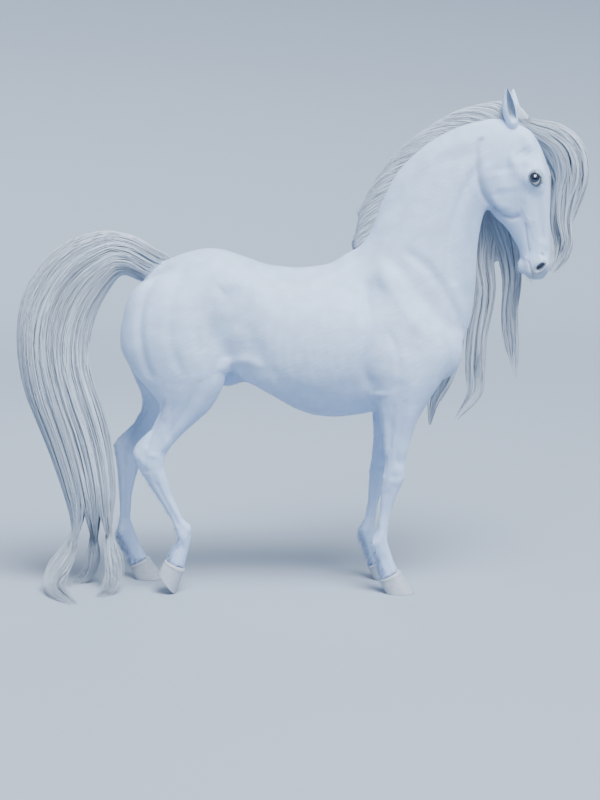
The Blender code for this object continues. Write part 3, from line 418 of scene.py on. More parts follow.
# The head's, in its own frame: forward and up seen from the side, or sideways and up seen from the front.
jawGroove = ((-0.028, -0.410), (-0.080, -0.412), (-0.138, -0.368), (-0.176, -0.28), (-0.180, -0.19),
             (-0.168, -0.10), (-0.140, -0.06))
cheekEdge = ((-0.050, -0.378), (-0.098, -0.368), (-0.138, -0.315), (-0.150, -0.22), (-0.128, -0.13))
noseGroove = ((0.058, -0.310), (0.052, -0.420), (0.046, -0.545))
lipGroove = ((-0.012, -0.440), (-0.014, -0.520), (-0.012, -0.580))  # down to the corner of the mouth
headSideLines = [
    (((0.018, -0.310), (0.006, -0.365), (0.004, -0.420), (0.010, -0.475)), 0.0135, 0.0058),  # facial crest
    (((-0.022, -0.335), (-0.030, -0.39), (-0.028, -0.455)), 0.0170, -0.0022),
    (((0.006, -0.215), (-0.022, -0.185), (-0.045, -0.130)), 0.0150, 0.0040),  # zygomatic arch
    (((0.034, -0.176), (0.022, -0.158), (0.008, -0.130)), 0.0180, -0.0070),  # hollow above the eye
    (((0.068, -0.250), (0.058, -0.210), (0.034, -0.196), (0.008, -0.210)), 0.0120, 0.0030),  # brow
    (jawGroove, 0.0085, -0.0125),
    (cheekEdge, 0.0170, 0.0075),
    (((-0.085, -0.200), (-0.085, -0.310)), 0.0450, 0.0075),  # the cheek
    (((0.088, -0.155), (0.090, -0.260), (0.078, -0.400), (0.064, -0.520), (0.056, -0.575)), 0.0075, 0.0050),
    (noseGroove, 0.0130, -0.0072),
    (((0.022, -0.345), (0.030, -0.440), (0.042, -0.560)), 0.0090, 0.0018),
    (((-0.030, -0.430), (-0.034, -0.510), (-0.028, -0.575)), 0.0160, 0.0032),
    (lipGroove, 0.0055, -0.0020),
    (((-0.010, -0.704), (-0.012, -0.675), (-0.018, -0.640), (-0.024, -0.606)), 0.0030, -0.0062),  # mouth
    (((0.002, -0.700), (0.002, -0.672), (-0.004, -0.640)), 0.0080, 0.0030),
    (((-0.026, -0.698), (-0.028, -0.668), (-0.034, -0.640)), 0.0080, 0.0026),
    (((-0.040, -0.606), (-0.060, -0.596), (-0.080, -0.588)), 0.0090, -0.0042),  # groove of the chin
    (((-0.030, -0.600), (-0.036, -0.590)), 0.0060, 0.0026),
    (((-0.022, -0.360), (-0.004, -0.418), (0.012, -0.480), (0.018, -0.530)), 0.0042, 0.0013),  # veins
    (((-0.004, -0.418), (0.020, -0.440), (0.040, -0.440)), 0.0038, 0.0010),
    (((0.050, -0.306), (0.032, -0.326), (0.008, -0.322)), 0.0075, -0.0018),  # folds under the eye
]
headFrontLines = [
    (((0.0, -0.640), (0.0, -0.672), (0.0, -0.700)), 0.0060, -0.0022),
    (((0.0, -0.180), (0.0, -0.420), (0.0, -0.560)), 0.0160, -0.0010),
    (((0.040, -0.120), (0.022, -0.080), (0.012, -0.040)), 0.0120, 0.0030),
]
nostril = {  # a comma: an oval opening with a slit that runs up from its front end
    "centre": (0.029, -0.640), "turn": 30, "long": 0.0250, "short": 0.0122, "depth": 0.026,
    "slit": ((0.047, -0.632), (0.050, -0.612), (0.042, -0.592), (0.030, -0.582)), "slitWidth": 0.0045,
    "slitDepth": 0.0075, "rim": 0.0036,
}
socket = {"rise": 0.0110, "depth": 0.016, "inner": (0.018, 0.042), "outer": (0.042, 0.090)}
eye = {
    "radius": 0.0335, "look": (0.30, 1.0, 0.05), "corner": (0.5, 0.0, -0.866),
    "front": 0.0310, "back": 0.0275, "upper": 0.0240, "lower": 0.0200, "drop": 0.0065, "lid": 0.0026,
    "reach": 0.060, "around": 120, "rings": 38, "mound": 0.0045,
}


# Middle of the eyeball, the way it looks, the way to its front corner, and the way to its upper lid.
def eyeFrame(side):
    low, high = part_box("eye_right" if side < 0 else "eye_left")
    out = unit(headTurn @ (np.array(eye["look"]) * (1, side, 1)))
    corner = headTurn @ np.array(eye["corner"])
    corner = unit(corner - out * (corner @ out))
    upper = np.cross(corner, out) * side
    return np.array((low + high) / 2), out, corner, upper


# How far the head's points are out from the middle of an oval turned in the side view: 1 on its rim.
def ovalDistance(q, oval):
    c, s = math.cos(math.radians(oval["turn"])), math.sin(math.radians(oval["turn"]))
    ahead, above = q[:, 0] - oval["centre"][0], q[:, 2] - oval["centre"][1]
    return np.hypot((ahead * c + above * s) / oval["long"], (above * c - ahead * s) / oval["short"])


# Heights of the muscles, bones and grooves on both sides of the body, in metres along the normal.
def bodyRelief(p, normal):
    side = ease(np.abs(normal[:, 1]), 0.10, 0.55)
    flat = p[:, [0, 2]]
    head, legs = region(p + bodyShift)
    height = np.zeros(len(p))
    for path, width, rise in bodyLines:
        height += rise * nearPath(flat, path, width)
    height *= skin["relief"] * side * (1 - head) * (1 - 0.6 * legs)
    for kind, lines in legLines.items():
        for name, sign in (("left", 1), ("right", -1)):
            ahead = p[:, 0] * (1 if kind == "fore" else -1)
            mine = (sign * p[:, 1] > 0.02) & (ahead > 0.1) & (p[:, 2] < 1.15)
            q = flat[mine]
            total = np.zeros(len(q))
            for row, path, width, rise in lines:
                total += rise * nearPath(q, legPoints(path, kind, name, row), width)
            height[mine] += skin["legRelief"] * total * ease(np.abs(normal[mine, 1]), 0.15, 0.6)
    middle = bell(p[:, 1] / 0.014)  # the grooves of croup, thighs and breast lie on the middle plane
    up, back = ease(normal[:, 2], 0.5, 0.95), ease(-normal[:, 0], 0.3, 0.8)
    front = ease(normal[:, 0], 0.3, 0.8)
    croup = skin["croupGroove"] * middle * up * ease(-p[:, 0], 0.05, 0.45) * ease(p[:, 0], -0.74, -0.66)
    thighs = skin["thighGroove"] * bell(p[:, 1] / 0.017) * back * ease(p[:, 2], 1.02, 1.12)
    thighs = thighs * ease(-p[:, 2], -1.47, -1.40) * ease(-p[:, 0], 0.6, 0.7)
    breast = skin["breastGroove"] * middle * front * ease(p[:, 2], 0.98, 1.06) * ease(-p[:, 2], -1.34, -1.24)
    return height - croup * (1 - head) - thighs - breast


# The same for the head, whose bones lie closer under the skin.
def headRelief(points, normal):
    q = headLocal(points)
    n = normal @ headTurn
    head = ease(q[:, 0] + 0.25 * q[:, 2], -0.37, -0.29) * ease(points[:, 0] - bodyShift[0], 0.74, 0.82)
    head = head * ease(-q[:, 2], 0.02, 0.06) * ease(n[:, 2], -0.95, -0.6)
    side, front = ease(np.abs(n[:, 1]), 0.20, 0.6), ease(n[:, 0], 0.3, 0.8)
    view = np.stack([q[:, 0], q[:, 2]], 1)
    facing = np.stack([np.abs(q[:, 1]), q[:, 2]], 1)
    height = sum(rise * nearPath(view, path, width) for path, width, rise in headSideLines) * side
    height += sum(rise * nearPath(facing, path, width) for path, width, rise in headFrontLines) * front
    for eyeSide in (-1, 1):  # the bone round the eye
        middle, out, corner, upper = eyeFrame(eyeSide)
        r = points - middle
        ahead, above = r @ corner, r @ upper
        away = np.hypot(ahead, above)
        ring = ease(away, *socket["inner"]) * (1 - ease(away, *socket["outer"]))
        fuller = 0.62 + 0.38 * (above - 0.5 * ahead) / (away + 0.01)
        height += socket["rise"] * ring * fuller * (r @ out > -0.02)
    oval = ovalDistance(q, nostril)
    slit = nearPath(view, nostril["slit"], nostril["slitWidth"])
    opening = ease(-oval, -1.12, -0.62)
    muzzle = ease(-q[:, 2], 0.54, 0.57) * ease(np.abs(q[:, 1]), 0.012, 0.022)
    rim = bell((oval - 1.28) / 0.20) * (1 - slit) + 0.5 * bell((oval - 1.9) / 0.45)
    height += muzzle * (nostril["rim"] * rim - nostril["slitDepth"] * slit * (1 - opening))
    inward = -nostril["depth"] * muzzle * opening
    return height * head, inward * head, q


# The skin with its relief; the nostrils are pressed in and back along their own passages.
def shapeSkin(mesh, net):
    points, normal = pointsOf(mesh), normalsOf(mesh)
    height = bodyRelief(points - bodyShift, normal)
    headHeight, inward, q = headRelief(points, normal)
    height = net.relaxed(height, 2) + headHeight
    points = points + normal * height[:, None]
    aim = np.stack([-0.25 * np.ones(len(q)), -np.sign(q[:, 1]), 0.35 * np.ones(len(q))], 1)
    points = points - unit(aim @ headTurn.T) * inward[:, None]
    setPoints(mesh, points)


shapeSkin(skinMesh, skinNet)
print("relief on the skin")

ear = {
    "length": 0.158, "at": (-0.020, 0.042, -0.022), "spread": 9, "prick": -2, "face": 56, "wall": 0.10,
    "widths": [  # share of the height, half width and half depth
        (0.00, 0.0215, 0.0205), (0.18, 0.0290, 0.0250), (0.42, 0.0325, 0.0240), (0.68, 0.0245, 0.0170),
        (0.88, 0.0125, 0.0095), (1.00, 0.0016, 0.0020)],
    "around": 56, "up": 44, "flare": 0.22, "foot": -0.24, "round": 0.10, "rollFrom": -58, "rollBy": 296,
}


# Quads between the points of a grid; the columns run round a closed loop, or not.
def gridFaces(rows, columns, closed=True):
    i, j = np.meshgrid(np.arange(rows - 1), np.arange(columns if closed else columns - 1), indexing="ij")
    a, b = i * columns + j, i * columns + (j + 1) % columns
    return np.stack([a, b, b + columns, a + columns], -1).reshape(-1, 4)


# Points and faces of a tube through rings of points, closed by a middle point at each end.
def closedTube(rings):
    rows, columns = rings.shape[:2]
    points = np.vstack([rings.reshape(-1, 3), rings[0].mean(0), rings[-1].mean(0)])
    j = np.arange(columns)
    k = (j + 1) % columns
    first, last = rows * columns, rows * columns + 1
    caps = np.vstack([np.stack([k, j, np.full(columns, first)], 1),
                      np.stack([j + first - columns, k + first - columns, np.full(columns, last)], 1)])
    return points, [caps, gridFaces(rows, columns)]


def roundTurn(count):
    return np.linspace(0, 2 * math.pi, count, endpoint=False)


# How open the ear is at each point of its grid: the inner wall, from a closed round foot upwards.
def earHollow():
    share, turn = np.linspace(ear["foot"], 1, ear["up"]), roundTurn(ear["around"])
    inner = (turn > math.pi) * np.abs(np.sin(turn)) ** 0.5
    return share, turn, (0.97 * ease(share, 0.02, 0.34))[:, None] * inner


# A rolled leaf: round the outer wall from edge to edge, then back along the inner wall.
def earRings(side):
    share, turn, hollow = earHollow()
    width = along(ear["widths"], np.interp(share, [row[0] for row in ear["widths"]], np.linspace(0, 1, 6)))
    outer = turn < math.pi
    back = (turn - math.pi) / math.pi
    edge = ear["rollFrom"] + ear["rollBy"]
    there = ear["rollFrom"] + ear["rollBy"] * turn / math.pi
    angle = np.radians(np.where(outer, there, edge - ear["rollBy"] * back))[None, :]
    closed = np.radians(np.where(outer, there, edge + (360 - ear["rollBy"]) * back))[None, :]
    wall = ear["wall"] * (~outer * np.abs(np.sin(turn)) ** 0.5)[None, :]
    x = -np.sin(angle) * (1 - wall * 1.6) * hollow - np.sin(closed) * (1 - hollow)
    y = np.cos(angle) * (1 - wall * 1.3) * hollow + np.cos(closed) * (1 - hollow)
    foot = np.clip((ear["round"] - share) / (ear["round"] - ear["foot"]), 0, 0.999)
    flare = (1 + ear["flare"] * ease(-share, -0.16, 0.0)) * np.sqrt(1 - foot**2)
    rings = np.stack([x * (width[:, 2] * flare)[:, None], y * (width[:, 1] * flare)[:, None],
                      np.broadcast_to((share * ear["length"])[:, None], x.shape)], -1)
    rings[:, :, 0] += (0.012 * np.square(np.clip(share, 0, 1)) - 0.006 * np.sin(share * math.pi))[:, None]
    inward = spun(-ear["face"] * side, "Z", 3) @ Vector((-0.006, -0.018 * side, 0))
    rings += foot[:, None, None] ** 2 * np.array(inward)
    atSide = Vector((ear["at"][0], ear["at"][1] * side, ear["at"][2]))
    place = (headPlace @ Matrix.Translation(atSide) @ spun(-ear["spread"] * side, "X")
             @ spun(ear["prick"], "Y") @ spun(ear["face"] * side, "Z"))
    return placed(place, rings.reshape(-1, 3)).reshape(rings.shape)


# The almond between the lids: an oval, drawn out and dropped at its front corner.
def lidOpening(turn):
    c, s = np.cos(turn), np.sin(turn)
    ahead = np.maximum(c, 0)
    x = np.where(c > 0, eye["front"], eye["back"]) * c
    y = np.where(s > 0, eye["upper"], eye["lower"]) * s * (1 - 0.45 * ahead**4) - eye["drop"] * ahead**2
    return x, y


# How far points are outside the edge of the lids, and their places ahead of, above and out from the eye.
def lidPlaces(points, side):
    middle, out, corner, upper = eyeFrame(side)
    x, y, z = ((points - middle) @ way for way in (corner, upper, out))
    openX, openY = lidOpening(np.arctan2((y + 0.3 * eye["drop"]) / eye["upper"], x / eye["front"]))
    return np.hypot(x, y) - np.hypot(openX, openY), x, y, z


# How high a mesh stands over the points of a plane, looking along the plane's own third axis.
def rayHeights(target, origin, axes, flat):
    goal = makeObject("goal", target)
    probe = makeObject("probe", makeMesh("probe", np.column_stack([flat, np.full(len(flat), 0.12)]),
                                         np.array([[0, 1, 2]])))
    matrix = np.eye(4)
    matrix[:3, 0], matrix[:3, 1], matrix[:3, 2], matrix[:3, 3] = *axes, origin
    probe.matrix_world = Matrix(matrix.tolist())
    wrap = probe.modifiers.new("wrap", "SHRINKWRAP")
    wrap.target, wrap.wrap_method, wrap.use_project_z = goal, "PROJECT", True
    wrap.use_negative_direction, wrap.use_positive_direction = True, False
    graph = bpy.context.evaluated_depsgraph_get()
    result = bpy.data.meshes.new_from_object(probe.evaluated_get(graph))
    heights = pointsOf(result)[:, 2]
    bpy.data.objects.remove(goal)
    bpy.data.objects.remove(probe)
    return heights


lidFolds = {  # rise, distance from the edge and width of each fold
    "above": [(0.0012, 0.0040, 0.0022), (-0.0022, 0.0085, 0.0014), (0.0010, 0.0125, 0.0024),
              (-0.0013, 0.0170, 0.0016)],
    "below": [(0.0010, 0.0035, 0.0020), (-0.0011, 0.0080, 0.0014), (-0.0007, 0.0140, 0.0016)],
}


# Rings from the edge of the lids out to the skin: the lid's own ball near the edge, the skin's level further
# out, and folds along the lids.
def lidPatch(side, target):
    middle, out, corner, upper = eyeFrame(side)
    turn = roundTurn(eye["around"])
    openX, openY = lidOpening(turn)
    forward = eye["corner"][0] * np.cos(turn) - eye["corner"][2] * np.sin(turn)
    reach = eye["reach"] - 0.017 * ease(forward, 0.0, 0.9)  # less in front, where the face turns away
    farX, farY = np.cos(turn) * reach, np.sin(turn) * reach
    share = np.linspace(0, 1, eye["rings"])[:, None] ** 1.25
    x, y = openX + (farX - openX) * share, openY + (farY - openY) * share
    flat = np.stack([x, y], -1).reshape(-1, 2)
    third = np.cross(corner, upper)
    facing = 1 if third @ out > 0 else -1
    level = rayHeights(target, middle, (corner, upper * facing, out), flat * (1, facing)).reshape(x.shape)
    radius = np.hypot(x, y)
    away = np.hypot(x - openX, y - openY)
    lidBall = eye["radius"] + eye["lid"]
    ball = np.sqrt(lidBall**2 - np.minimum(radius, 0.93 * lidBall) ** 2)
    ball = ball - 2.5 * np.maximum(radius - 0.93 * lidBall, 0)
    over = level + eye["mound"] * np.logaddexp(0, (ball - level) / eye["mound"])
    blend = ease(away, 0.0015, 0.010)
    height = ball * (1 - blend) + (over + (level - over) * ease(away, 0.012, 0.040)) * blend
    lidShare = {"above": ease(np.sin(turn), -0.15, 0.5), "below": ease(-np.sin(turn), 0.0, 0.6)}
    for lid, folds in lidFolds.items():
        for rise, place, width in folds:
            height += rise * lidShare[lid] * bell((away - place) / width)
    height += 0.0003 - 0.0007 * ease(share, 0.45, 1.0)
    rings = np.stack([x, y, height], -1)
    edge = []
    for inset, lift in ((0.62, -0.0120), (0.93, -0.0025), (0.965, 0.0004), (0.985, 0.0017)):
        ex, ey = openX * inset, openY * inset
        edge.append(np.stack([ex, ey, np.sqrt((eye["radius"] + lift) ** 2 - ex**2 - ey**2)], -1))
    rings = np.concatenate([np.array(edge), rings])
    faces = gridFaces(len(rings), eye["around"])
    points = middle + rings @ np.array([corner, upper, out])
    a, b, c = points.reshape(-1, 3)[faces[len(faces) // 2, :3]]
    if np.cross(b - a, c - a) @ out < 0:
        faces = faces[:, ::-1]
    return points.reshape(-1, 3), faces


# A closed mesh whose faces look outwards.
def orderedOut(name, points, faces):
    def order(made):
        bmesh.ops.recalc_face_normals(made, faces=made.faces)
        if made.calc_volume(signed=True) < 0:
            bmesh.ops.reverse_faces(made, faces=made.faces)
    return reworked(name, [makeMesh(name, points, faces)], order)


patches = [lidPatch(side, skinMesh) for side in (-1, 1)]
skinPlaces = pointsOf(skinMesh)
for side in (-1, 1):  # under the lids the skin goes down, out of the eyeball's way
    middle, out, corner, upper = eyeFrame(side)
    r = skinPlaces - middle
    near = ease(-np.hypot(r @ corner, r @ upper), -0.0415, -0.0345) * ease(r @ out, 0.0, 0.006)
    skinPlaces = skinPlaces - socket["depth"] * near[:, None] * out
setPoints(skinMesh, skinPlaces)
ratio = skin["triangles"] / (2.0 * len(skinMesh.polygons))
thinned = [("TRIANGULATE", {}), ("DECIMATE", {"ratio": ratio}), ("TRIANGULATE", {})]
skinMesh = applied("skin", skinMesh, thinned)
ears = [orderedOut("ear", *closedTube(earRings(side))) for side in (-1, 1)]
lids = [makeMesh("lid", *patch) for patch in patches]
skinMesh = smoothShaded(reworked("skin", [skinMesh] + ears + lids))
print("skin with ears and lids", len(skinMesh.polygons), "faces")


# A socket that can be reckoned with: each operator adds a Math node.
class Value:
    def __init__(self, shader, socket):
        self.shader, self.socket = shader, socket

    def math(self, operation, other, swap=False):
        pair = (other, self) if swap else (self, other)
        return self.shader.node("ShaderNodeMath", {"operation": operation}, {0: pair[0], 1: pair[1]})

    def __add__(self, other):
        return self.math("ADD", other)

    def __radd__(self, other):
        return self.math("ADD", other, True)

    def __sub__(self, other):
        return self.math("SUBTRACT", other)

    def __rsub__(self, other):
        return self.math("SUBTRACT", other, True)

    def __mul__(self, other):
        return self.math("MULTIPLY", other)

    def __rmul__(self, other):
        return self.math("MULTIPLY", other, True)


# A material, its Principled shader, and the one way in which its other nodes are made.
class Shader:
    def __init__(self, name, fixed):
        self.material = bpy.data.materials.new(name)
        self.material.use_nodes = True
        self.tree = self.material.node_tree
        self.main = self.tree.nodes["Principled BSDF"]
        for socket, value in fixed.items():
            self.main.inputs[socket].default_value = value

    def node(self, kind, settings=None, sockets=None, output=0):
        made = self.tree.nodes.new(kind)
        for key, value in (settings or {}).items():
            if key == "stops":
                ramp = made.color_ramp
                while len(ramp.elements) < len(value):
                    ramp.elements.new(0.5)
                for element, (at, colour) in zip(ramp.elements, value):
                    element.position, element.color = at, (*colour, 1)
            else:
                setattr(made, key, value)
        for key, value in (sockets or {}).items():
            if isinstance(value, Value):
                self.tree.links.new(value.socket, made.inputs[key])
            else:
                made.inputs[key].default_value = value
        return Value(self, made.outputs[output])

    def attribute(self, name, output="Color"):
        return self.node("ShaderNodeAttribute", {"attribute_name": name}, None, output)

    def place(self):
        return self.node("ShaderNodeTexCoord", None, None, "Object")

    def noise(self, scale, detail=3.0, place=None, stretch=(1, 1, 1)):
        at = self.node("ShaderNodeVectorMath", {"operation": "MULTIPLY"},
                       {0: place or self.place(), 1: stretch})
        return self.node("ShaderNodeTexNoise", None, {"Vector": at, "Scale": scale, "Detail": detail})

    def mix(self, factor, first, second):
        return self.node("ShaderNodeMix", {"data_type": "RGBA"}, {0: factor, 6: first, 7: (*second, 1)}, 2)

    def bump(self, height, strength, distance):
        return self.node("ShaderNodeBump", None,
                         {"Height": height, "Strength": strength, "Distance": distance})

    def set(self, **sockets):
        for name, value in sockets.items():
            self.tree.links.new(value.socket, self.main.inputs[name.replace("_", " ")])
        return self.material


coat = {
    "dapple": 0.50, "dappleScale": 19.0, "dappleColour": (0.345, 0.440, 0.600),
    "wide": 0.26, "wideScale": 64.0, "wideColour": (0.400, 0.500, 0.660),
    "fine": 0.24, "fineScale": 520.0, "fineColour": (0.360, 0.440, 0.580), "lie": 0.48, "depth": 0.0035,
}


# Base colour from the piece's own tone, lighter in the middle of soft dapples and streaked along the coat's
# lie; bump like short flat hair, which lies back and down on the body, and straight down on head and legs.
def coatMaterial(name):
    shader = Shader(name, {"Specular IOR Level": 0.30, "Sheen Weight": 0.28, "Sheen Roughness": 0.42,
                           "Sheen Tint": (0.84, 0.91, 1.0, 1.0)})
    tone, upright = shader.attribute("tone"), shader.attribute("upright", "Fac")
    slanted = shader.node("ShaderNodeMapping", None,
                          {"Vector": shader.place(), "Rotation": (0, coat["lie"], 0)})

    def streaks(scale, length, detail):
        onBody = shader.noise(scale, detail, slanted, (length, 1, 1))
        return onBody + upright * (shader.noise(scale, detail, None, (1, 1, length)) - onBody)

    warp = shader.noise(9.0, 2.0)
    bent = shader.node("ShaderNodeVectorMath", {"operation": "ADD"}, {0: shader.place(), 1: warp * 0.05})
    cells = shader.node("ShaderNodeTexVoronoi", {"feature": "SMOOTH_F1"},
                        {"Vector": bent, "Scale": coat["dappleScale"]})
    patches = shader.noise(3.2, 3.0)
    dapple = (cells * 1.9 - 0.30) * (1 - upright) * (0.25 + 0.75 * patches)
    wide, fine = streaks(coat["wideScale"], 0.16, 3.0), streaks(coat["fineScale"], 0.12, 2.0)
    colour = shader.mix(dapple * coat["dapple"], tone, coat["dappleColour"])
    colour = shader.mix(wide * coat["wide"], colour, coat["wideColour"])
    colour = shader.mix(fine * coat["fine"], colour, coat["fineColour"])
    height = fine * 0.35 + wide * 0.65
    return shader.set(Base_Color=colour, Roughness=0.50 + 0.16 * wide,
                      Normal=shader.bump(height, 0.9, coat["depth"]))


hair = {"grain": 160.0, "amount": 0.22, "shade": (0.30, 0.35, 0.42)}


# The strand's own tone with a fine grain and a soft gloss.
def hairMaterial(name):
    shader = Shader(name, {"Roughness": 0.46, "Specular IOR Level": 0.38, "Sheen Weight": 0.10,
                           "Sheen Roughness": 0.4})
    grain = shader.noise(hair["grain"], 2.0)
    colour = shader.mix(grain * hair["amount"], shader.attribute("tone"), hair["shade"])
    return shader.set(Base_Color=colour, Roughness=0.40 + 0.16 * grain)


coatLook = coatMaterial("short_coat")
hairLook = hairMaterial("long_hair")
tuftLook = hairMaterial("tufts")


def addTone(mesh, colours):
    layer = mesh.color_attributes.new("tone", "FLOAT_COLOR", "POINT")
    solid = np.column_stack([colours, np.ones(len(colours))])
    layer.data.foreach_set("color", solid.astype(np.float32).ravel())


# the belly tone is the coat in painted shade; markings also use it for the darker pasterns
tones = {  # linear colours
    "coat": (0.565, 0.735, 1.000), "legs": (0.495, 0.650, 0.920), "belly": (0.425, 0.575, 0.855),
    "muzzle": (0.360, 0.420, 0.520), "eyeSkin": (0.034, 0.040, 0.052), "earInner": (0.330, 0.390, 0.490),
    "mane": (0.620, 0.700, 0.810), "maneShade": (0.380, 0.450, 0.550), "tail": (0.640, 0.720, 0.830),
    "tailShade": (0.400, 0.470, 0.570),
}


def addUpright(mesh):
    head, legs = region(pointsOf(mesh))
    layer = mesh.attributes.new("upright", "FLOAT", "POINT")
    layer.data.foreach_set("value", np.maximum(head, legs).astype(np.float32))


def blendTone(colours, tone, weight):
    return colours + np.clip(weight, 0, 1)[:, None] * (np.array(tones[tone]) - colours)


throatShadePath = ((0.87, 2.00), (0.805, 1.87), (0.760, 1.70), (0.755, 1.53), (0.780, 1.36))
nostrilPatch = {"centre": (0.012, -0.652), "turn": 32, "long": 0.046, "short": 0.021}


# The coat's colour at any place, for the skin and for the tufts on it: greyer where the skin shows through,
# with painted shade under the belly, along the underside of the neck, over the lower cheek and in the
# grooves of shoulder, jaw, nose and lip.
def markings(points):
    p, q = points - bodyShift, headLocal(points)
    flat, view = p[:, [0, 2]], np.stack([q[:, 0], q[:, 2]], 1)
    head = region(points)[0]
    flank = np.abs(q[:, 1]) > 0.02
    muzzle = head * ease(np.abs(q[:, 1]), 0.010, 0.020) * ease(-q[:, 2], 0.56, 0.59)
    oval, patch = ovalDistance(q, nostril), ovalDistance(q, nostrilPatch)
    under = ease(-p[:, 2], -1.08, -0.86) * ease(p[:, 2], 0.70, 0.80) * (np.abs(p[:, 0]) < 0.6)
    marks = [
        ("legs", 0.9 * ease(-p[:, 2], -1.05, -0.45)),
        # painted shade under the belly, between the legs
        ("belly", 0.75 * under),
        ("belly", 0.8 * bell((p[:, 2] - 0.13) / 0.035)),  # pasterns
        # painted shade along the underside of the neck
        ("belly", 0.75 * nearPath(flat, throatShadePath, 0.034) * (1 - head)),
        # painted shade in the groove behind the shoulder
        ("belly", 0.45 * nearPath(flat, shoulderGroove, 0.012)),
        # painted shade over the lower cheek, below its edge
        ("belly", 0.55 * flank * nearPath(view, cheekEdge, 0.036)),
        # painted shade in the groove behind the jaw
        ("muzzle", 0.60 * flank * nearPath(view, jawGroove, 0.0060)),
        # painted shade in the groove down the nose
        ("belly", 0.45 * flank * nearPath(view, noseGroove, 0.018)),
        ("muzzle", 0.62 * head * ease(-q[:, 2], 0.575, 0.665)),
        ("muzzle", 0.8 * muzzle * ease(-oval, -2.1, -1.2)),
        ("muzzle", 0.95 * muzzle * ease(-patch, -1.25, -0.85)),
        ("eyeSkin", 0.92 * muzzle * ease(-oval, -1.05, -0.70)),
        # painted shade, near black, in the groove above the corner of the mouth
        ("eyeSkin", 0.55 * head * nearPath(view, lipGroove, 0.0026))]
    for side in (-1, 1):  # dark skin along the lids
        away, ahead, above, outward = lidPlaces(points, side)
        near = (outward > 0.004) & (np.hypot(ahead, above) < 0.08)
        marks += [("muzzle", 0.60 * near * ease(-away, -0.016, -0.004)),
                  ("eyeSkin", 0.96 * near * ease(-away, -0.0085, -0.0032))]
    colours = np.tile(np.array(tones["coat"]), (len(points), 1))
    for tone, weight in marks:
        colours = blendTone(colours, tone, weight)
    return colours


skinTone = markings(pointsOf(skinMesh))
hollow = earHollow()[2].ravel()
earSize = ear["up"] * ear["around"] + 2
firstEar = len(skinTone) - sum(len(patch[0]) for patch in patches) - 2 * earSize
for start in (firstEar, firstEar + earSize):  # the ears follow the body's points; inner walls are greyer
    own = slice(start, start + len(hollow))
    skinTone[own] = blendTone(skinTone[own], "earInner", 0.9 * hollow)
addTone(skinMesh, skinTone)
addUpright(skinMesh)


# A piece of the horse: it rides on the one body, takes the given material and stands for these CAD nodes,
# which it hides.
def dressed(name, mesh, material, stoodFor=()):
    piece = makeObject(name, mesh, material)
    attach(piece, "root")
    if stoodFor:
        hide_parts(*stoodFor)
    return piece


skinPiece = dressed("skin", skinMesh, coatLook, fleshNodes)
print("skin dressed")


eyeball = {
    "rings": 64, "around": 72, "cornea": 0.018, "irisAt": (0.0050, -0.0015), "pupil": (0.0110, 0.0066),
    "white": (0.66, 0.68, 0.70), "iris": (0.006, 0.016, 0.042), "fibre": (0.006, 0.016, 0.038),
    "black": (0.002, 0.003, 0.006),
}


# A ball with a slightly fuller cornea, in rings from the middle of the pupil back; its tone holds the white,
# a dark iris with fine fibres and a darker rim, and the pupil.
def eyeballMesh(name, side):
    middle, out, corner, upper = eyeFrame(side)
    axes = np.array([corner, upper, out])
    polar = np.linspace(0.002, math.pi - 0.002, eyeball["rings"])[:, None]
    turn = roundTurn(eyeball["around"])[None, :]
    radius = (eye["radius"] - 0.0004) * (1 + eyeball["cornea"] * bell(polar / 0.42))
    local = np.stack([radius * np.sin(polar) * np.cos(turn), radius * np.sin(polar) * np.sin(turn),
                      radius * np.cos(polar) + 0 * turn], -1)
    mesh = orderedOut(name, *closedTube(middle + local @ axes))
    flat = (pointsOf(mesh) - middle) @ axes.T
    x, y, front = flat[:, 0] + eyeball["irisAt"][0], flat[:, 1] + eyeball["irisAt"][1], flat[:, 2] > 0
    away, angle = np.hypot(x, y), np.arctan2(y, x)
    iris = ease(-away, -0.0236, -0.0222) * front
    pupil = ease(-np.hypot(x / eyeball["pupil"][0], y / eyeball["pupil"][1]), -1.06, -0.94) * front
    fibres = 0.5 + 0.5 * np.sin(angle * 61 + 3 * np.sin(angle * 17) + away * 700)
    white = np.array(eyeball["white"]) * (1 - 0.25 * ease(away, 0.022, 0.032))[:, None]
    navy = np.array(eyeball["iris"]) + fibres[:, None] * np.array(eyeball["fibre"]) * \
        ease(away, 0.008, 0.018)[:, None]
    navy = navy * (1 - 0.75 * ease(away, 0.0195, 0.0228))[:, None]
    colours = white + iris[:, None] * (navy - white)
    colours = colours + pupil[:, None] * (np.array(eyeball["black"]) - colours)
    addTone(mesh, colours)
    return mesh


eyeShader = Shader("wet_eye", {"Roughness": 0.06, "Specular IOR Level": 0.6, "Coat Weight": 1.0,
                               "Coat Roughness": 0.02})
eyeLook = eyeShader.set(Base_Color=eyeShader.attribute("tone"))
for name, side in (("eye_right", -1), ("eye_left", 1)):
    dressed(name + "_globe", eyeballMesh(name, side), eyeLook, [name])

hoof = {
    "around": 96, "rings": 44, "growth": 0.00030, "growthLength": 0.0085, "band": 0.0022, "wall": 0.085,
    "heelNotch": 0.16, "frog": 0.0045,
    "sole": [(0.97, 0.0), (0.93, 0.0005), (0.90, 0.0045), (0.70, 0.0065), (0.45, 0.0075), (0.20, 0.0080)],
}


# The wall's rows in this pose: front, back, half width, squareness of the back.
def hoofSections(kind, side):
    rows = []
    for front, back, halfWidth, square in hoofRows[kind]:
        front, back = legPoints([front, back], kind, side, hoofRow)
        rows.append([*front, *back, halfWidth, square])
    first = np.array(rows[0])
    step = unit(first[0:2] - first[2:4]) * 0.003
    rows[0] = [*(first[0:2] + step), *(first[2:4] - step), first[4] + 0.003, first[5]]
    return np.array(rows)


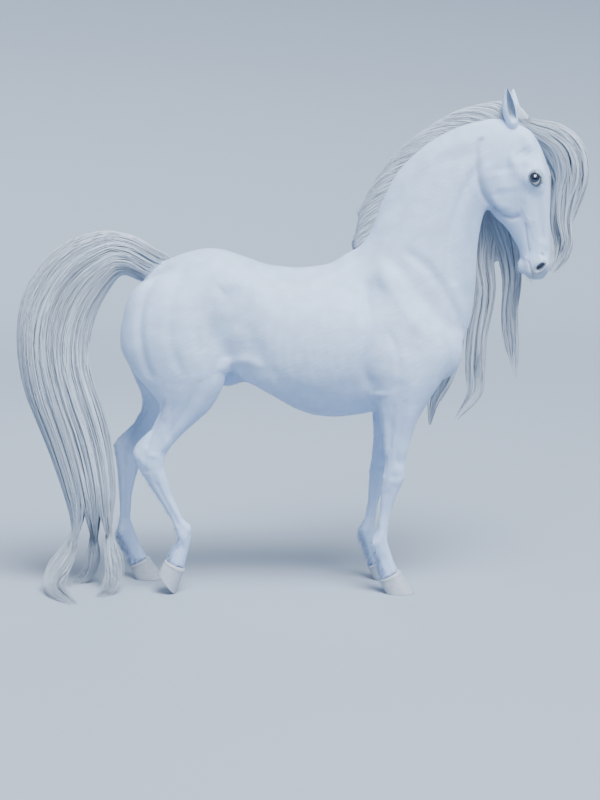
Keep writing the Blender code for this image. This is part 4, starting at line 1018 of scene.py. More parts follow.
# The wall as a loft from coronet to ground with rings of growth; below it the sole in rings, each a share of
# the wall's foot and a height, with a raised frog.
def hoofMesh(kind, side):
    rows = hoofSections(kind, side)
    sign = 1 if side == "left" else -1
    turn = roundTurn(hoof["around"])
    across, rise = np.cos(turn)[None, :], np.sin(turn)[None, :]
    share = np.linspace(0, 1, hoof["rings"])
    row = along(rows, share)
    length = share * hoof["wall"]
    grow = hoof["growth"] * np.sin(2 * math.pi * length / hoof["growthLength"] + 0.8 * np.sin(length * 260))
    grow = grow + hoof["band"] * bell((length - 0.006) / 0.005) - 0.0030 * bell(length / 0.002)
    power = 2 / np.where(rise > 0, 2.0, row[:, 5:6])
    middle = row[:, 2:4] + (row[:, 0:2] - row[:, 2:4]) * 0.55
    reach = np.abs(rise) ** power
    half = np.where((rise > 0)[..., None], (row[:, 0:2] - middle)[:, None], (row[:, 2:4] - middle)[:, None])
    flat = middle[:, None] + half * reach[..., None]
    sideways = row[:, 4:5] * np.sign(across) * np.abs(across) ** power
    heel = bell((turn - 1.5 * math.pi) / 0.16)[None, :] * ease(share, 0.25, 0.8)[:, None]
    rings = np.stack([flat[..., 0], sideways + 0 * reach, flat[..., 1]], -1)
    centre = rings.mean(1, keepdims=True)
    outward = unit(rings - centre)
    rings = rings + outward * grow[:, None, None] - (rings - centre) * hoof["heelNotch"] * heel[..., None]
    base = rings[-1]
    sole, flatCentre = [], base.mean(0)
    for inset, lift in hoof["sole"]:
        ring = flatCentre + (base - flatCentre) * inset
        ahead = (ring - flatCentre)[:, :1]
        wedge = bell(ring[:, 1:2] / np.maximum(0.006 + 0.16 * np.maximum(0.02 - ahead, 0), 0.004))
        up = np.array([0, 0, 1.0]) * (lift - hoof["frog"] * wedge * (inset < 0.89) * (ahead < 0.03))
        sole.append(ring + up)
    rings = np.concatenate([rings, np.array(sole)])
    rings[..., 1] += sign * legMiddle[kind]
    points, faces = closedTube(rings)
    points = points + bodyShift
    points[:, 2] = np.maximum(points[:, 2], 0.0)
    return orderedOut(f"hoof_{kind}_{side}", points, faces)


horn = {
    "light": (0.46, 0.50, 0.57, 1), "dark": (0.30, 0.335, 0.39), "band": (0.56, 0.60, 0.66), "bands": 0.55}
hoofShader = Shader("horn", {"Roughness": 0.42, "Specular IOR Level": 0.42, "Coat Roughness": 0.3})
tall = hoofShader.noise(38.0, 4.0, stretch=(1.0, 1.0, 0.10))
bands = hoofShader.noise(60.0, 2.0, stretch=(0.25, 0.25, 1.6))
hornTone = hoofShader.mix(tall, horn["light"], horn["dark"])
hornTone = hoofShader.mix(bands * horn["bands"], hornTone, horn["band"])
hornLook = hoofShader.set(Base_Color=hornTone, Roughness=0.34 + 0.22 * bands,
                          Normal=hoofShader.bump(tall * 0.6 + bands * 0.4, 0.5, 0.0008))
for kind in ("fore", "hind"):
    for side in ("left", "right"):
        dressed(f"horn_{kind}_{side}", hoofMesh(kind, side), hornLook, [f"hoof_{kind}_{side}"])
print("eyes and hooves done")


bedShape = {"grid": 0.011, "rounds": 11, "swell": 0.0035, "tipFrom": 0.76, "tipReach": 0.07}


# What lies under the strands: the hair's solids fused on a grid, relaxed and drawn in. The thin end of each
# lock is gathered in one point further up, inside its strands.
def hairBed(name, nodeNames, bed):
    mesh = solidsOf(name, nodeNames)
    setPoints(mesh, pointsOf(mesh) + bedShape["swell"] * normalsOf(mesh))
    mesh = applied(name, mesh, [("REMESH", {"mode": "VOXEL", "voxel_size": bedShape["grid"]})])
    setPoints(mesh, Net(mesh).relaxed(pointsOf(mesh), bedShape["rounds"]))
    points = pointsOf(mesh)
    p = points - bodyShift
    deeper = bed["deeper"] * ease(bed["sign"] * p[:, bed["axis"]], *bed["from"])
    points = points - (bed["inset"] + bedShape["swell"] + deeper)[:, None] * normalsOf(mesh)
    for rows in bed["tips"]:
        lock = lockVolume(rows)[0]
        gap = np.linalg.norm(points[:, None] - lock, axis=2)
        end = int(bedShape["tipFrom"] * len(lock))
        points[(gap.argmin(1) > end) & (gap.min(1) < bedShape["tipReach"])] = lock[end]
    setPoints(mesh, points)
    mesh = smoothShaded(reworked(name, [mesh], mergeWithin(1e-5)))
    addTone(mesh, np.tile(np.array(tones[bed["tone"]]), (len(mesh.vertices), 1)))
    return mesh


# A lock's volume: its middle line, and half its width and half its thickness square to it, at fine steps.
def lockVolume(rows):
    fine = smoothRows(rows, 10)
    path = fine[:, :3] + bodyShift
    ahead = unit(np.gradient(path, axis=0))
    wide = unit(np.cross(ahead, [0.0, 1.0, 0.0]))
    return path, wide * fine[:, 3:4], np.cross(ahead, wide) * fine[:, 4:5]


# The same for sections given by their outer and inner place in the side view, half width and place across.
def sectionVolume(rows):
    fine = smoothRows(rows, 10)
    outer, inner = fine[:, [0, 1]], fine[:, [2, 3]]
    middle, half = (outer + inner) / 2, (outer - inner) / 2
    zero = np.zeros(len(fine))
    path = np.column_stack([middle[:, 0], fine[:, 5], middle[:, 1]]) + bodyShift
    return path, np.column_stack([half[:, 0], zero, half[:, 1]]), np.column_stack([zero, fine[:, 4], zero])


# Places at shares t of a volume's length and a, b of its half widths, and the way out of it there.
def inVolume(volume, t, a, b):
    path = volume[0]
    at = np.clip(t, 0, 1) * (len(path) - 1)
    low = np.minimum(at.astype(int), len(path) - 2)
    part = (at - low)[..., None]
    middle, u, v = (rows[low] * (1 - part) + rows[low + 1] * part for rows in volume)
    offset = a[..., None] * u + b[..., None] * v
    return middle + offset, unit(offset)


# Each part of the body is unrolled round its own axis into a tile: place, width and height.
tiles = {
    "trunk": (0.01, 0.51, 0.47, 0.47), "neck": (0.51, 0.51, 0.23, 0.47), "head": (0.76, 0.51, 0.22, 0.47),
    "tail": (0.01, 0.01, 0.30, 0.47), "fore-": (0.33, 0.01, 0.15, 0.47), "fore+": (0.50, 0.01, 0.15, 0.47),
    "hind-": (0.67, 0.01, 0.15, 0.47), "hind+": (0.83, 0.01, 0.15, 0.47)}


# Where each root lies on the skin's unwrap: the angle round its part's axis, and the way along it.
def unwrapped(points):
    p, q = points - bodyShift, headLocal(points)
    head, legs = region(points)
    ways = {"trunk": (np.arctan2(p[:, 1], p[:, 2] - 1.30), (p[:, 0] + 0.85) / 1.6),
            "neck": (np.arctan2(p[:, 1], 0.75 * (p[:, 2] - 1.40) - 0.66 * (p[:, 0] - 0.45)),
                     (0.66 * (p[:, 2] - 1.10) + 0.75 * (p[:, 0] - 0.25)) / 1.45),
            "head": (np.arctan2(q[:, 1], q[:, 0] + 0.04), (0.18 - q[:, 2]) / 0.92),
            "tail": (np.arctan2(p[:, 1], p[:, 2] - 1.45), (-0.60 - p[:, 0]) / 0.80)}
    for kind, middle in (("fore", 0.42), ("hind", -0.74)):
        for mark, sign in (("-", -1), ("+", 1)):
            ways[kind + mark] = (np.arctan2(p[:, 1] - sign * 0.14, p[:, 0] - middle), p[:, 2] / 1.1)
    own = np.full(len(p), "trunk")
    own[(p[:, 0] > 0.24) & (p[:, 2] > 1.30)] = "neck"
    own[p[:, 0] < -0.80] = "tail"
    own[(p[:, 0] < -0.60) & (p[:, 2] > 1.40)] = "tail"
    for kind, sign in (("fore", 1), ("hind", -1)):
        mine = (legs > 0.4) & (sign * p[:, 0] > 0)
        own[mine & (p[:, 1] < 0)], own[mine & (p[:, 1] >= 0)] = kind + "-", kind + "+"
    own[head > 0.5] = "head"
    place = np.zeros((len(p), 2))
    for name, (x, y, wide, high) in tiles.items():
        angle, length = ways[name]
        there = np.stack([x + wide * (angle / (2 * math.pi) + 0.5), y + high * np.clip(length, 0, 1)], 1)
        place[own == name] = there[own == name]
    return place


bladeShape = {"corners": (90, 210, 330), "thickness": 0.55, "least": 0.0001, "patch": 0.003}


# Three-sided blades along paths, flattened square to the way out, wide at the root and drawn out to a point.
# Every blade is a patch of the unwrap at its root's place.
def bladeMesh(name, paths, outward, halfWidth, colours):
    count, rings = paths.shape[:2]
    ahead = unit(np.gradient(paths, axis=1))
    side = unit(np.cross(ahead, outward))
    lift = np.cross(side, ahead)
    turn = np.radians(bladeShape["corners"])[:, None]
    halfWidth = np.maximum(halfWidth, bladeShape["least"])[..., None, None]
    triangle = side[:, :, None] * np.cos(turn) + bladeShape["thickness"] * lift[:, :, None] * np.sin(turn)
    points = (paths[:, :, None] + halfWidth * triangle).reshape(-1, 3)
    start = (np.arange(count) * rings * 3)[:, None, None]
    quads = (gridFaces(rings, 3)[None] + start).reshape(-1, 4)
    rootCap = np.array([[2, 1, 0]]) + start[:, 0]
    tipCap = np.array([[0, 1, 2]]) + start[:, 0] + (rings - 1) * 3
    mesh = makeMesh(name, points, [quads, rootCap, tipCap])
    addTone(mesh, np.repeat(colours.reshape(-1, 3), 3, axis=0))
    patch = bladeShape["patch"]
    own = np.stack([np.tile([0, 0.5 * patch, patch], count * rings),
                    np.tile(np.repeat(np.linspace(0, patch, rings), 3), count)], 1)
    place = np.repeat(unwrapped(paths[:, 0]), rings * 3, axis=0) + own
    corners = np.empty(len(mesh.loops), np.int32)
    mesh.loops.foreach_get("vertex_index", corners)
    mesh.uv_layers.new(name="OFBake").data.foreach_set("uv", place[corners].astype(np.float32).ravel())
    return mesh


# Each strand's tone between the light and the shade tone: its own random share and its clump's, with painted
# shade deeper inside the lock and at the root.
def strandTones(kind, share, clump, reach):
    own = np.sin(clump * 12.9898) * 43758.5453 % 1  # scattered, but the same for each strand of a clump
    mixed = 0.40 * chance.random((len(clump), 1)) + 0.30 * own[:, None] + 0.9 * (1 - reach)[:, None]
    mixed = np.clip(mixed + 0.22 * (1 - ease(share, 0, 0.15)) - 0.10 * share, 0, 1)[..., None]
    return np.array(tones[kind]) * (1 - mixed) + np.array(tones[kind + "Shade"]) * mixed


# A strand swells from its root to its full width and thins out over its last half.
def strandWidths(width, share, count):
    taper = (0.45 + 0.55 * ease(share, 0, 0.12)) * (1 - 0.88 * ease(share, 0.55, 1.0))
    return width * chance.uniform(0.65, 1.35, (count, 1)) * taper


# The middles of a volume's clumps, most of them near its surface, and each strand's nearest one.
def clumpsOf(count, clumps, hollow):
    angle, size = chance.random(clumps) * 2 * math.pi, chance.uniform(0.80, 0.97, clumps)
    middle = np.stack([size * np.cos(angle), size * np.sin(angle)], 1)
    own, reach = chance.random(count) * 2 * math.pi, np.sqrt(chance.uniform(hollow**2, 1, count))
    start = np.stack([reach * np.cos(own), reach * np.sin(own)], 1)
    nearest = ((start[:, None] - middle) ** 2).sum(2).argmin(1)
    clump = np.where(chance.random(count) < 0.88, nearest, chance.integers(0, clumps, count))
    return start, middle[clump], clump, reach


# Places across a volume kept within this share of its half widths.
def held(a, b, most=0.985):
    over = np.maximum(np.hypot(a, b) / most, 1)
    return a / over, b / over


# A lock: strands start all over its volume, run along it, sway with their clump and gather to its tip.
def lockStrands(rows, count, look):
    start, middle, clump, reach = clumpsOf(count, look["clumps"], look["hollow"])
    first = chance.uniform(*look["starts"], count)
    last = chance.uniform(*look["ends"], look["clumps"])[clump] + chance.normal(0, look["unevenEnds"], count)
    last = np.clip(last, first + look["shortest"], 1.0)
    share = np.linspace(0, 1, look["rings"])[None, :]
    t = first[:, None] + (last - first)[:, None] * share
    pull = look["gather"] * share**1.4
    phase = chance.uniform(0, 2 * math.pi, look["clumps"])[clump][:, None]
    phase = phase + chance.normal(0, look["unevenSway"], (count, 1))
    beat = chance.uniform(*look["waves"], look["clumps"])[clump][:, None]
    swing = look["wave"] * np.sin(2 * math.pi * beat * t + phase) * (0.3 + share)
    a = start[:, :1] + (middle - start)[:, :1] * pull + swing
    b = start[:, 1:] + (middle - start)[:, 1:] * pull + 0.7 * swing
    paths, outward = inVolume(lockVolume(rows), t, *held(a, b))
    widths = strandWidths(look["width"], share, count)
    return paths, outward, widths, strandTones("mane", share, clump, reach)


# One piece from several groups of strands or tufts.
def hairPiece(name, groups, material):
    return dressed(name, bladeMesh(name, *(np.concatenate(part) for part in zip(*groups))), material)


tailRows = [  # outer place, inner place, half width, place across: from the dock to where the tips part
    (-0.596, 1.556, -0.700, 1.424, 0.058, 0.0), (-0.655, 1.583, -0.738, 1.436, 0.066, 0.0),
    (-0.722, 1.624, -0.780, 1.456, 0.072, 0.0), (-0.785, 1.656, -0.815, 1.470, 0.075, 0.0),
    (-0.850, 1.670, -0.838, 1.466, 0.080, 0.0),
    (-0.918, 1.678, -0.862, 1.448, 0.090, 0.0), (-1.065, 1.640, -0.930, 1.345, 0.100, 0.0),
    (-1.200, 1.540, -0.975, 1.230, 0.107, 0.0), (-1.300, 1.372, -0.990, 1.120, 0.112, 0.0),
    (-1.330, 1.170, -0.982, 1.010, 0.114, -0.005), (-1.300, 0.935, -0.935, 0.868, 0.110, -0.010),
    (-1.215, 0.715, -0.893, 0.700, 0.103, -0.015), (-1.138, 0.490, -0.874, 0.500, 0.095, -0.018),
    (-1.104, 0.330, -0.874, 0.345, 0.088, -0.018), (-1.108, 0.225, -0.876, 0.235, 0.078, -0.020)]
tipRows = [  # the outer, middle and inner tip: middle line, half width, half thickness, as in the mane
    [(-1.050, -0.020, 0.300, 0.052, 0.050), (-1.105, -0.050, 0.170, 0.052, 0.045),
     (-1.155, -0.105, 0.080, 0.048, 0.040), (-1.140, -0.190, 0.026, 0.045, 0.040),
     (-1.085, -0.285, 0.012, 0.036, 0.034), (-1.030, -0.370, 0.005, 0.012, 0.016)],
    [(-0.990, 0.020, 0.290, 0.045, 0.045), (-0.985, 0.045, 0.150, 0.040, 0.040),
     (-1.010, 0.065, 0.055, 0.034, 0.034), (-1.050, 0.055, 0.014, 0.030, 0.030),
     (-1.090, 0.020, 0.005, 0.012, 0.014)],
    [(-0.930, -0.020, 0.300, 0.046, 0.048), (-0.892, -0.045, 0.180, 0.042, 0.042),
     (-0.878, -0.095, 0.075, 0.038, 0.038), (-0.900, -0.165, 0.020, 0.036, 0.036),
     (-0.945, -0.245, 0.005, 0.014, 0.016)]]
crestRows = [  # along the top of the neck, as the tail's rows
    (0.240, 1.603, 0.330, 1.570, 0.030, 0.012), (0.253, 1.700, 0.400, 1.680, 0.046, 0.022),
    (0.288, 1.815, 0.440, 1.780, 0.056, 0.032), (0.362, 1.945, 0.510, 1.890, 0.060, 0.036),
    (0.485, 2.080, 0.600, 1.990, 0.062, 0.036), (0.680, 2.208, 0.740, 2.085, 0.062, 0.032),
    (0.870, 2.262, 0.880, 2.120, 0.054, 0.020), (0.975, 2.250, 0.960, 2.120, 0.036, 0.002),
    (1.030, 2.200, 0.995, 2.090, 0.030, 0.000)]
maneRows = [  # six locks from the poll back to the withers
    [(0.910, 0.030, 2.190, 0.066, 0.030), (0.905, 0.095, 2.120, 0.072, 0.026),
     (0.905, 0.135, 1.960, 0.066, 0.028), (0.915, 0.150, 1.760, 0.066, 0.032),
     (0.965, 0.140, 1.580, 0.055, 0.034), (0.985, 0.120, 1.440, 0.046, 0.032),
     (0.975, 0.110, 1.290, 0.040, 0.030), (0.985, 0.105, 1.140, 0.038, 0.026),
     (1.008, 0.100, 0.980, 0.008, 0.008)],
    [(0.745, 0.030, 2.185, 0.108, 0.032), (0.775, 0.115, 2.085, 0.108, 0.030),
     (0.820, 0.150, 1.860, 0.085, 0.030), (0.850, 0.155, 1.680, 0.074, 0.034),
     (0.845, 0.145, 1.520, 0.060, 0.036), (0.860, 0.135, 1.380, 0.052, 0.034),
     (0.828, 0.140, 1.180, 0.050, 0.032), (0.820, 0.140, 1.020, 0.048, 0.030),
     (0.815, 0.135, 0.900, 0.038, 0.026), (0.732, 0.130, 0.778, 0.008, 0.008)],
    [(0.572, 0.030, 2.085, 0.118, 0.034), (0.622, 0.120, 1.980, 0.116, 0.030),
     (0.690, 0.165, 1.760, 0.088, 0.032), (0.725, 0.180, 1.540, 0.076, 0.034),
     (0.725, 0.190, 1.330, 0.064, 0.036), (0.712, 0.205, 1.130, 0.056, 0.036),
     (0.682, 0.215, 0.980, 0.048, 0.032), (0.635, 0.215, 0.860, 0.034, 0.026),
     (0.614, 0.210, 0.738, 0.008, 0.008)],
    [(0.435, 0.030, 1.960, 0.112, 0.034), (0.480, 0.125, 1.860, 0.112, 0.030),
     (0.560, 0.175, 1.640, 0.086, 0.032), (0.590, 0.215, 1.420, 0.076, 0.034),
     (0.590, 0.250, 1.220, 0.062, 0.034), (0.545, 0.262, 1.050, 0.048, 0.030),
     (0.560, 0.262, 0.900, 0.008, 0.008)],
    [(0.335, 0.025, 1.815, 0.100, 0.032), (0.366, 0.115, 1.735, 0.102, 0.030),
     (0.435, 0.180, 1.540, 0.080, 0.032), (0.450, 0.230, 1.360, 0.068, 0.034),
     (0.425, 0.262, 1.200, 0.050, 0.030), (0.440, 0.270, 1.050, 0.008, 0.008)],
    [(0.285, 0.020, 1.665, 0.066, 0.028), (0.303, 0.100, 1.615, 0.074, 0.028),
     (0.330, 0.180, 1.480, 0.060, 0.030), (0.320, 0.232, 1.350, 0.044, 0.028),
     (0.335, 0.255, 1.210, 0.008, 0.008)],
]
forelockRows = [
    (0.955, 0.000, 2.182, 0.038, 0.046), (1.045, 0.004, 2.142, 0.046, 0.050),
    (1.140, 0.010, 2.100, 0.076, 0.054), (1.205, 0.026, 2.032, 0.096, 0.060),
    (1.234, 0.042, 1.930, 0.090, 0.060), (1.223, 0.052, 1.825, 0.076, 0.054),
    (1.206, 0.054, 1.715, 0.058, 0.046), (1.214, 0.044, 1.625, 0.048, 0.040),
    (1.196, 0.028, 1.550, 0.036, 0.030), (1.155, 0.000, 1.486, 0.008, 0.008),
]
lookOfMane = {
    "counts": [740, 840, 740, 600, 480, 360], "rings": 18, "clumps": 26, "hollow": 0.70,
    "starts": (0.0, 0.28), "ends": (0.74, 1.0), "unevenEnds": 0.02, "shortest": 0.12, "gather": 0.74,
    "wave": 0.15, "waves": (1.1, 2.3), "unevenSway": 0.25, "width": 0.0017}
lookOfForelock = lookOfMane | {"counts": [1400], "clumps": 30, "ends": (0.72, 1.0), "hollow": 0.74}
lookOfCrest = {
    "count": 1850, "rings": 15, "along": 1.18, "from": (-45, 75), "way": 170, "wayVaries": 9, "slide": 0.26,
    "slideVaries": 0.018, "width": 0.0019}
lookOfTail = {
    "count": 960, "pieces": 3, "rings": 25, "clumps": 70, "hollow": 0.62, "gather": 0.62, "wave": 0.05,
    "waves": 1.7, "unevenSway": 0.2, "width": 0.0021, "fromDock": 0.52, "dockRoots": (-0.03, 0.20),
    "short": 0.22, "shortEnds": (0.72, 0.99), "ends": (1.05, 1.30), "split": (0.25, -0.35),
    "parts": (0.86, 1.06), "tipMiddles": (0.62, -0.05, -0.66), "tipSize": 1.22, "onGround": 0.0025}
amount = 1.0

tailNodes = ["tail_arch", "tail_fall", "tail_gather"]
tailEnds = ["tail_ends", "tail_tip_outer", "tail_tip_middle", "tail_tip_inner"]
beds = {  # deeper: how much further a bed is drawn in, from one height or place across to another
    "mane_bed": {
        "nodes": ["mane_crest"] + [f"mane_lock_{number}" for number in range(1, 7)], "also": [],
        "inset": 0.010, "deeper": 0.012, "sign": 1, "axis": 1, "from": (0.085, 0.125), "tips": maneRows,
        "tone": "maneShade", "slot": "mane_hair"},
    "forelock_bed": {
        "nodes": ["forelock"], "also": [], "inset": 0.017, "deeper": 0.0, "sign": 1, "axis": 1,
        "from": (0, 1), "tips": [forelockRows], "tone": "maneShade", "slot": "mane_hair"},
    "tail_bed": {
        "nodes": tailNodes, "also": tailEnds, "inset": 0.014, "deeper": 0.026, "sign": -1, "axis": 2,
        "from": (-0.75, -0.45), "tips": [], "tone": "tailShade", "slot": "tail_hair"},
}
for name, bed in beds.items():
    dressed(name, hairBed(name, bed["nodes"], bed), hairLook, bed["nodes"] + bed["also"])
print("hair beds done")

locks = [lockStrands(rows, int(count * amount), lookOfMane)
         for rows, count in zip(maneRows, lookOfMane["counts"])]
for name, first in (("mane_front", 0), ("mane_middle", 2), ("mane_back", 4)):
    hairPiece(name, locks[first:first + 2], hairLook)
strands = lockStrands(forelockRows, int(lookOfForelock["counts"][0] * amount), lookOfForelock)
hairPiece("forelock_hair", [strands], hairLook)


# The crest: hair rises from the right side of the neck's top, falls over to the left and slides down it.
def crestStrands(look, count):
    volume = sectionVolume(crestRows)
    first = chance.random(count) * look["along"]
    share = np.linspace(0, 1, look["rings"])[None, :]
    start = chance.uniform(*look["from"], (count, 1))
    way = chance.normal(look["way"], look["wayVaries"], (count, 1))
    turn = np.radians(start + way * share)
    t = first[:, None] - chance.normal(look["slide"], look["slideVaries"], (count, 1)) * share
    group = np.floor(first * 70)
    swell = 0.04 * np.sin(group * 2.4)[:, None] * np.sin(share * math.pi)
    reach = chance.uniform(0.90, 1.0, (count, 1)) + swell
    a, b = held(reach * np.sin(turn), -reach * np.cos(turn), 1.02)
    paths, outward = inVolume(volume, t, a, b)
    widths = strandWidths(look["width"], share, count)
    return paths, outward, widths, strandTones("mane", share, group, np.full(count, 0.97))


hairPiece("mane_top", [crestStrands(lookOfCrest, int(lookOfCrest["count"] * amount))], hairLook)


# The tail: strands run from the dock or further down through its sections, then along one of three tips, as
# far out as they lie in the tail.
def tailStrands(look, count):
    start, middle, clump, reach = clumpsOf(count, look["clumps"], look["hollow"])
    onDock = chance.random(count) < look["fromDock"]
    dockRoots = chance.uniform(*look["dockRoots"], count)
    first = np.where(onDock, dockRoots, 0.18 + 0.45 * chance.random(count) ** 1.3)
    short = chance.random(count) < look["short"]
    last = np.where(short, chance.uniform(*look["shortEnds"], count), chance.uniform(*look["ends"], count))
    share = np.linspace(0, 1, look["rings"])[None, :]
    t = first[:, None] + (last - first)[:, None] * share
    pull = look["gather"] * ease(t, 0.15, 1.1)
    phase = chance.uniform(0, 2 * math.pi, look["clumps"])[clump][:, None]
    phase = phase + chance.normal(0, look["unevenSway"], (count, 1))
    swing = look["wave"] * np.sin(2 * math.pi * look["waves"] * t + phase)
    rooted = 1 - 0.20 * (onDock[:, None] * (1 - ease(share, 0, 0.045)))
    a = (start[:, :1] + (middle - start)[:, :1] * pull + swing) * rooted
    b = (start[:, 1:] + (middle - start)[:, 1:] * pull + swing) * rooted
    a, b = held(a, b)
    paths, outward = inVolume(sectionVolume(tailRows), t, a, b)
    tip = np.where(a[:, -1] > look["split"][0], 0, np.where(a[:, -1] < look["split"][1], 2, 1))
    spread = np.sqrt(chance.uniform(0.10, 1.0, count)) * look["tipSize"]
    for number, rows in enumerate(tipRows):
        mine = tip == number
        angle = np.arctan2(b[mine, -1], (a[mine, -1] - look["tipMiddles"][number]) * 1.6)
        sway = angle[:, None] + 0.35 * np.sin(5 * t[mine] + clump[mine][:, None])
        down = np.clip((t[mine] - 0.90) / 0.40, 0, 1)
        there, out = inVolume(lockVolume(rows), down, spread[mine][:, None] * np.cos(sway),
                              spread[mine][:, None] * np.sin(sway))
        part = ease(t[mine], *look["parts"])[..., None]
        paths[mine] = paths[mine] * (1 - part) + there * part
        outward[mine] = unit(outward[mine] * (1 - part) + out * part)
    paths[..., 2] = np.maximum(paths[..., 2], look["onGround"])
    widths = strandWidths(look["width"], share, count)
    return paths, outward, widths, strandTones("tail", share, clump, reach)


for number in range(1, lookOfTail["pieces"] + 1):
    strands = tailStrands(lookOfTail, int(lookOfTail["count"] * amount))
    hairPiece(f"tail_hair_{number}", [strands], hairLook)
print("long hair done")


skinPoints, skinNormals = pointsOf(skinPiece.data), normalsOf(skinPiece.data)


# A lie pressed onto the skin: less its part, or a share of it, along the way out.
def flatOn(lie, normals, share=1.0):
    return unit(lie - share * normals * (lie * normals).sum(1)[:, None])


# The lie of the coat: down the face and the legs, back and down on the body.
def lieAt(points, normals):
    head, legs = region(points)
    onBody = np.tile([-0.85, 0.0, -0.45], (len(points), 1))
    onLeg, onHead = np.array([-0.25, 0.0, -1.0]), headTurn @ np.array([-0.15, 0.0, -1.0])
    lie = onBody * (1 - head - legs)[:, None] + onLeg * legs[:, None] + onHead * head[:, None]
    return flatOn(lie, normals)


def downBack(points, normals):
    return flatOn(np.tile([-0.45, 0.0, -1.0], (len(points), 1)), normals, 0.6)


def upward(points, normals):
    return flatOn(np.tile(headTurn @ np.array([0.25, 0.0, 1.0]), (len(points), 1)), normals)


def lashWay(points, normals):
    return unit(headTurn @ np.array([0.50, 0, -0.10]) + 0.50 * normals)


tuft = {  # what holds for every tuft that says nothing else
    "rings": 4, "way": lieAt, "droop": 0.25, "spread": 0.25, "tone": None, "scatter": 0.004, "sunk": 0.0012}


# Tufts at skin places drawn by weight: each leaves at an angle of rise degrees and bends along the lie.
def tuftsAt(weight, look):
    look = tuft | look
    count = max(8, int(look["count"] * amount))
    weight = np.maximum(weight, 0)
    picked = chance.choice(len(weight), count, p=weight / weight.sum())
    place, normal = skinPoints[picked], skinNormals[picked]
    lie = look["way"](place, normal)
    lie = unit(lie + look["spread"] * np.cross(normal, lie) * chance.normal(0, 1, (count, 1)))
    root = place + look["scatter"] * chance.normal(0, 1, (count, 3))
    root -= normal * ((root - place) * normal).sum(1)[:, None] + look["sunk"] * normal
    share = np.linspace(0, 1, look["rings"])[None, :, None]
    size = (look["length"] * chance.uniform(0.6, 1.3, count))[:, None, None]
    up = np.radians(look["rise"] * chance.uniform(0.5, 1.4, count))[:, None, None]
    rising = np.sin(up) * normal[:, None] * (share - 0.45 * share**2)
    falling = look["droop"] * share**2 * np.array([0, 0, 1.0])
    paths = root[:, None] + size * (share * np.cos(up) * lie[:, None] + rising - falling)
    colours = np.tile(np.array(tones[look["tone"]]), (count, 1)) if look["tone"] else markings(root)
    colours = colours * chance.uniform(0.84, 1.04, (count, 1))
    colours = np.repeat(colours[:, None], look["rings"], 1)
    widths = look["width"] * chance.uniform(0.7, 1.3, (count, 1)) * (1 - 0.85 * share[..., 0] ** 1.5)
    return paths, np.repeat(normal[:, None], look["rings"], 1), widths, colours


# Where on the skin each kind of tuft grows, by the part of the body, the place and the way the skin faces.
headShare, legShare = region(skinPoints)
ahead, across, above = (skinPoints - bodyShift).T
headAhead, headAcross, headAbove = headLocal(skinPoints).T
rear, front = ease(-skinNormals[:, 0], 0.2, 0.8), ease(skinNormals[:, 0], 0.3, 0.9)
under = ease(-skinNormals[:, 2], 0.2, 0.8)
bodyShare = 1 - headShare
muzzle = headShare * ease(-headAbove, 0.585, 0.64)
earTop = (headAbove > -0.030) & (np.abs(headAcross) < 0.12) & (headShare > 0.5)
lashes = np.zeros(len(skinPoints))
for side in (-1, 1):
    away, *place = lidPlaces(skinPoints, side)
    near = (place[2] > 0.004) * (place[1] > 0.007) * (np.hypot(place[0], place[1]) < 0.05)
    lashes += near * bell((away - 0.0018) / 0.0012)
grows = {
    "fetlock": legShare * rear * bell((above - 0.175) / 0.055),
    "coronet": legShare * (above < 0.145) * bell((above - 0.085) / 0.022),
    "cannon": legShare * rear * (above > 0.22) * (above < 0.62),
    "belly": under * (1 - legShare) * (ahead > -0.50) * (ahead < 0.46) * (above < 1.10) * bodyShare,
    "breast": front * (above > 0.98) * (above < 1.36) * (ahead > 0.5) * bodyShare,
    "forearm": legShare * rear * (above > 0.62) * (above < 1.04),
    "thighs": bell(across / 0.05) * rear * (above > 1.02) * (above < 1.42) * (ahead < -0.6),
    "body": bodyShare * (1 - legShare) * (1 - under) * (above > 0.9),
    "jaw": headShare * ease(-headAhead, 0.06, 0.14) * (headAbove < -0.12) * (headAbove > -0.45),
    "whiskers": muzzle * rear,
    "face": headShare * (1 - muzzle) * (headAbove < -0.06),
    "lashes": lashes,
    "ears": earTop * (headAbove < 0.115),
}
tufts = {
    "tufts_legs": {
        "fetlock": {"count": 1800, "length": 0.034, "width": 0.0010, "rise": 24, "way": downBack,
                    "droop": 0.15},
        "coronet": {"count": 1900, "length": 0.017, "width": 0.0008, "rise": 16, "way": downBack,
                    "droop": 0.1},
        "cannon": {"count": 900, "length": 0.014, "width": 0.0006, "rise": 14, "way": downBack,
                   "droop": 0.1}},
    "tufts_body": {
        "belly": {"count": 2600, "length": 0.016, "width": 0.0007, "rise": 14},
        "breast": {"count": 1500, "length": 0.016, "width": 0.0007, "rise": 14},
        "forearm": {"count": 1500, "length": 0.018, "width": 0.0007, "rise": 16},
        "thighs": {"count": 500, "length": 0.014, "width": 0.0006, "rise": 14},
        "body": {"count": 3000, "length": 0.011, "width": 0.00055, "rise": 8}},
    "tufts_head": {
        "jaw": {"count": 900, "length": 0.014, "width": 0.0005, "rise": 12},
        "whiskers": {"count": 130, "length": 0.030, "width": 0.00035, "rise": 50, "droop": 0.1},
        "face": {"count": 2200, "length": 0.0065, "width": 0.0004, "rise": 7},
        "lashes": {"count": 170, "length": 0.021, "width": 0.00042, "rise": 34, "way": lashWay,
                   "droop": 0.05, "spread": 0.12, "tone": "eyeSkin"},
        "ears": {"count": 2600, "length": 0.0085, "width": 0.0005, "rise": 9, "way": upward, "droop": 0.0}},
}
for name, kinds in tufts.items():
    hairPiece(name, [tuftsAt(grows[kind], look) for kind, look in kinds.items()], tuftLook)
print("tufts done")

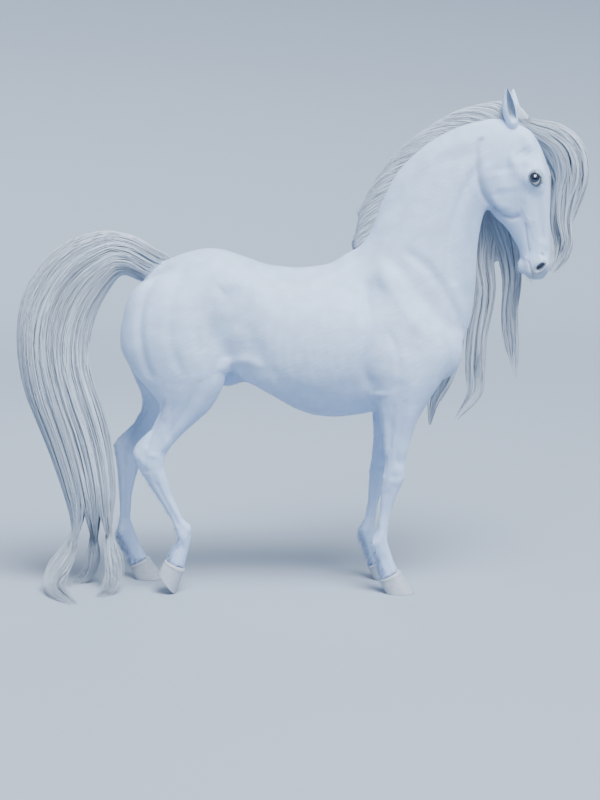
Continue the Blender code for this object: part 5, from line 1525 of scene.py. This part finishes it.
studio = {"floor": (0.33, 0.39, 0.48, 1), "roughness": 0.8, "sky": (0.72, 0.83, 1.0, 1), "skyPower": 0.48}
floorShader = Shader("floor", {"Base Color": studio["floor"], "Roughness": studio["roughness"]})
floorTurn = roundTurn(128)
bend = np.linspace(0, 0.5 * math.pi, 14)  # a flat disc that curves up into a wall all round
wallCurve = np.stack([12 + 5 * np.sin(bend), 5 - 5 * np.cos(bend)], 1)
floorRows = np.vstack([[[1.0, 0.0]], wallCurve, [[17.0, 9.0]]])
floorPoints = np.stack([floorRows[:, :1] * np.cos(floorTurn), floorRows[:, :1] * np.sin(floorTurn),
                        floorRows[:, 1:] - 0.0005 + 0 * floorTurn], -1).reshape(-1, 3)
floorFaces = [gridFaces(len(floorRows), len(floorTurn))[:, ::-1], np.arange(len(floorTurn))[None]]
floorMesh = makeMesh("floor", floorPoints, floorFaces)
floor = makeObject("floor", floorMesh, floorShader.material)

world = bpy.data.worlds.new("studio")
bpy.context.scene.world = world
world.use_nodes = True
skylight = world.node_tree.nodes["Background"].inputs
skylight["Color"].default_value = studio["sky"]
skylight["Strength"].default_value = studio["skyPower"]


# A light at a place, looking along a way.
def aimed(name, data, place, way):
    holder = makeObject(name, data)
    holder.location = place
    holder.rotation_euler = Vector(way).to_track_quat("-Z", "Y").to_euler()


softboxes = {  # place, height it looks at, size, power and colour
    "key": ((1.6, -3.6, 5.6), 1.1, 2.4, 250, (1.0, 0.99, 0.98)),
    "fill": ((-5.0, -3.5, 2.8), 1.0, 3.5, 30, (0.90, 0.95, 1.0)),
    "rim": ((-1.5, 5.0, 4.5), 1.2, 3.0, 90, (0.95, 0.97, 1.0)),
}
for name, (place, aim, size, power, colour) in softboxes.items():
    light = bpy.data.lights.new(name, "AREA")
    light.size, light.energy, light.color = size, power, colour
    aimed(name, light, place, Vector((0, 0, aim)) - Vector(place))
ceiling = bpy.data.lights.new("ceiling", "SUN")  # a wide soft light from above, a little to the front
ceiling.energy, ceiling.angle, ceiling.color = 5.8, 0.6, (0.94, 0.97, 1.0)
aimed("ceiling", ceiling, (0, 0, 0), (-0.22, 0.42, -0.88))

shot = {"aim": (-0.007, 0.0, 0.893), "distance": 8.0, "elevation": 8.0, "height": 3.72}
camera = makeObject("camera", bpy.data.cameras.new("camera"))
lift = math.radians(shot["elevation"])
camera.location = Vector(shot["aim"]) + shot["distance"] * Vector((0, -math.cos(lift), math.sin(lift)))
camera.rotation_euler = (Vector(shot["aim"]) - camera.location).to_track_quat("-Z", "Y").to_euler()
camera.data.sensor_fit = "VERTICAL"
camera.data.angle = 2 * math.atan(shot["height"] / 2 / shot["distance"])
bpy.context.scene.camera = camera
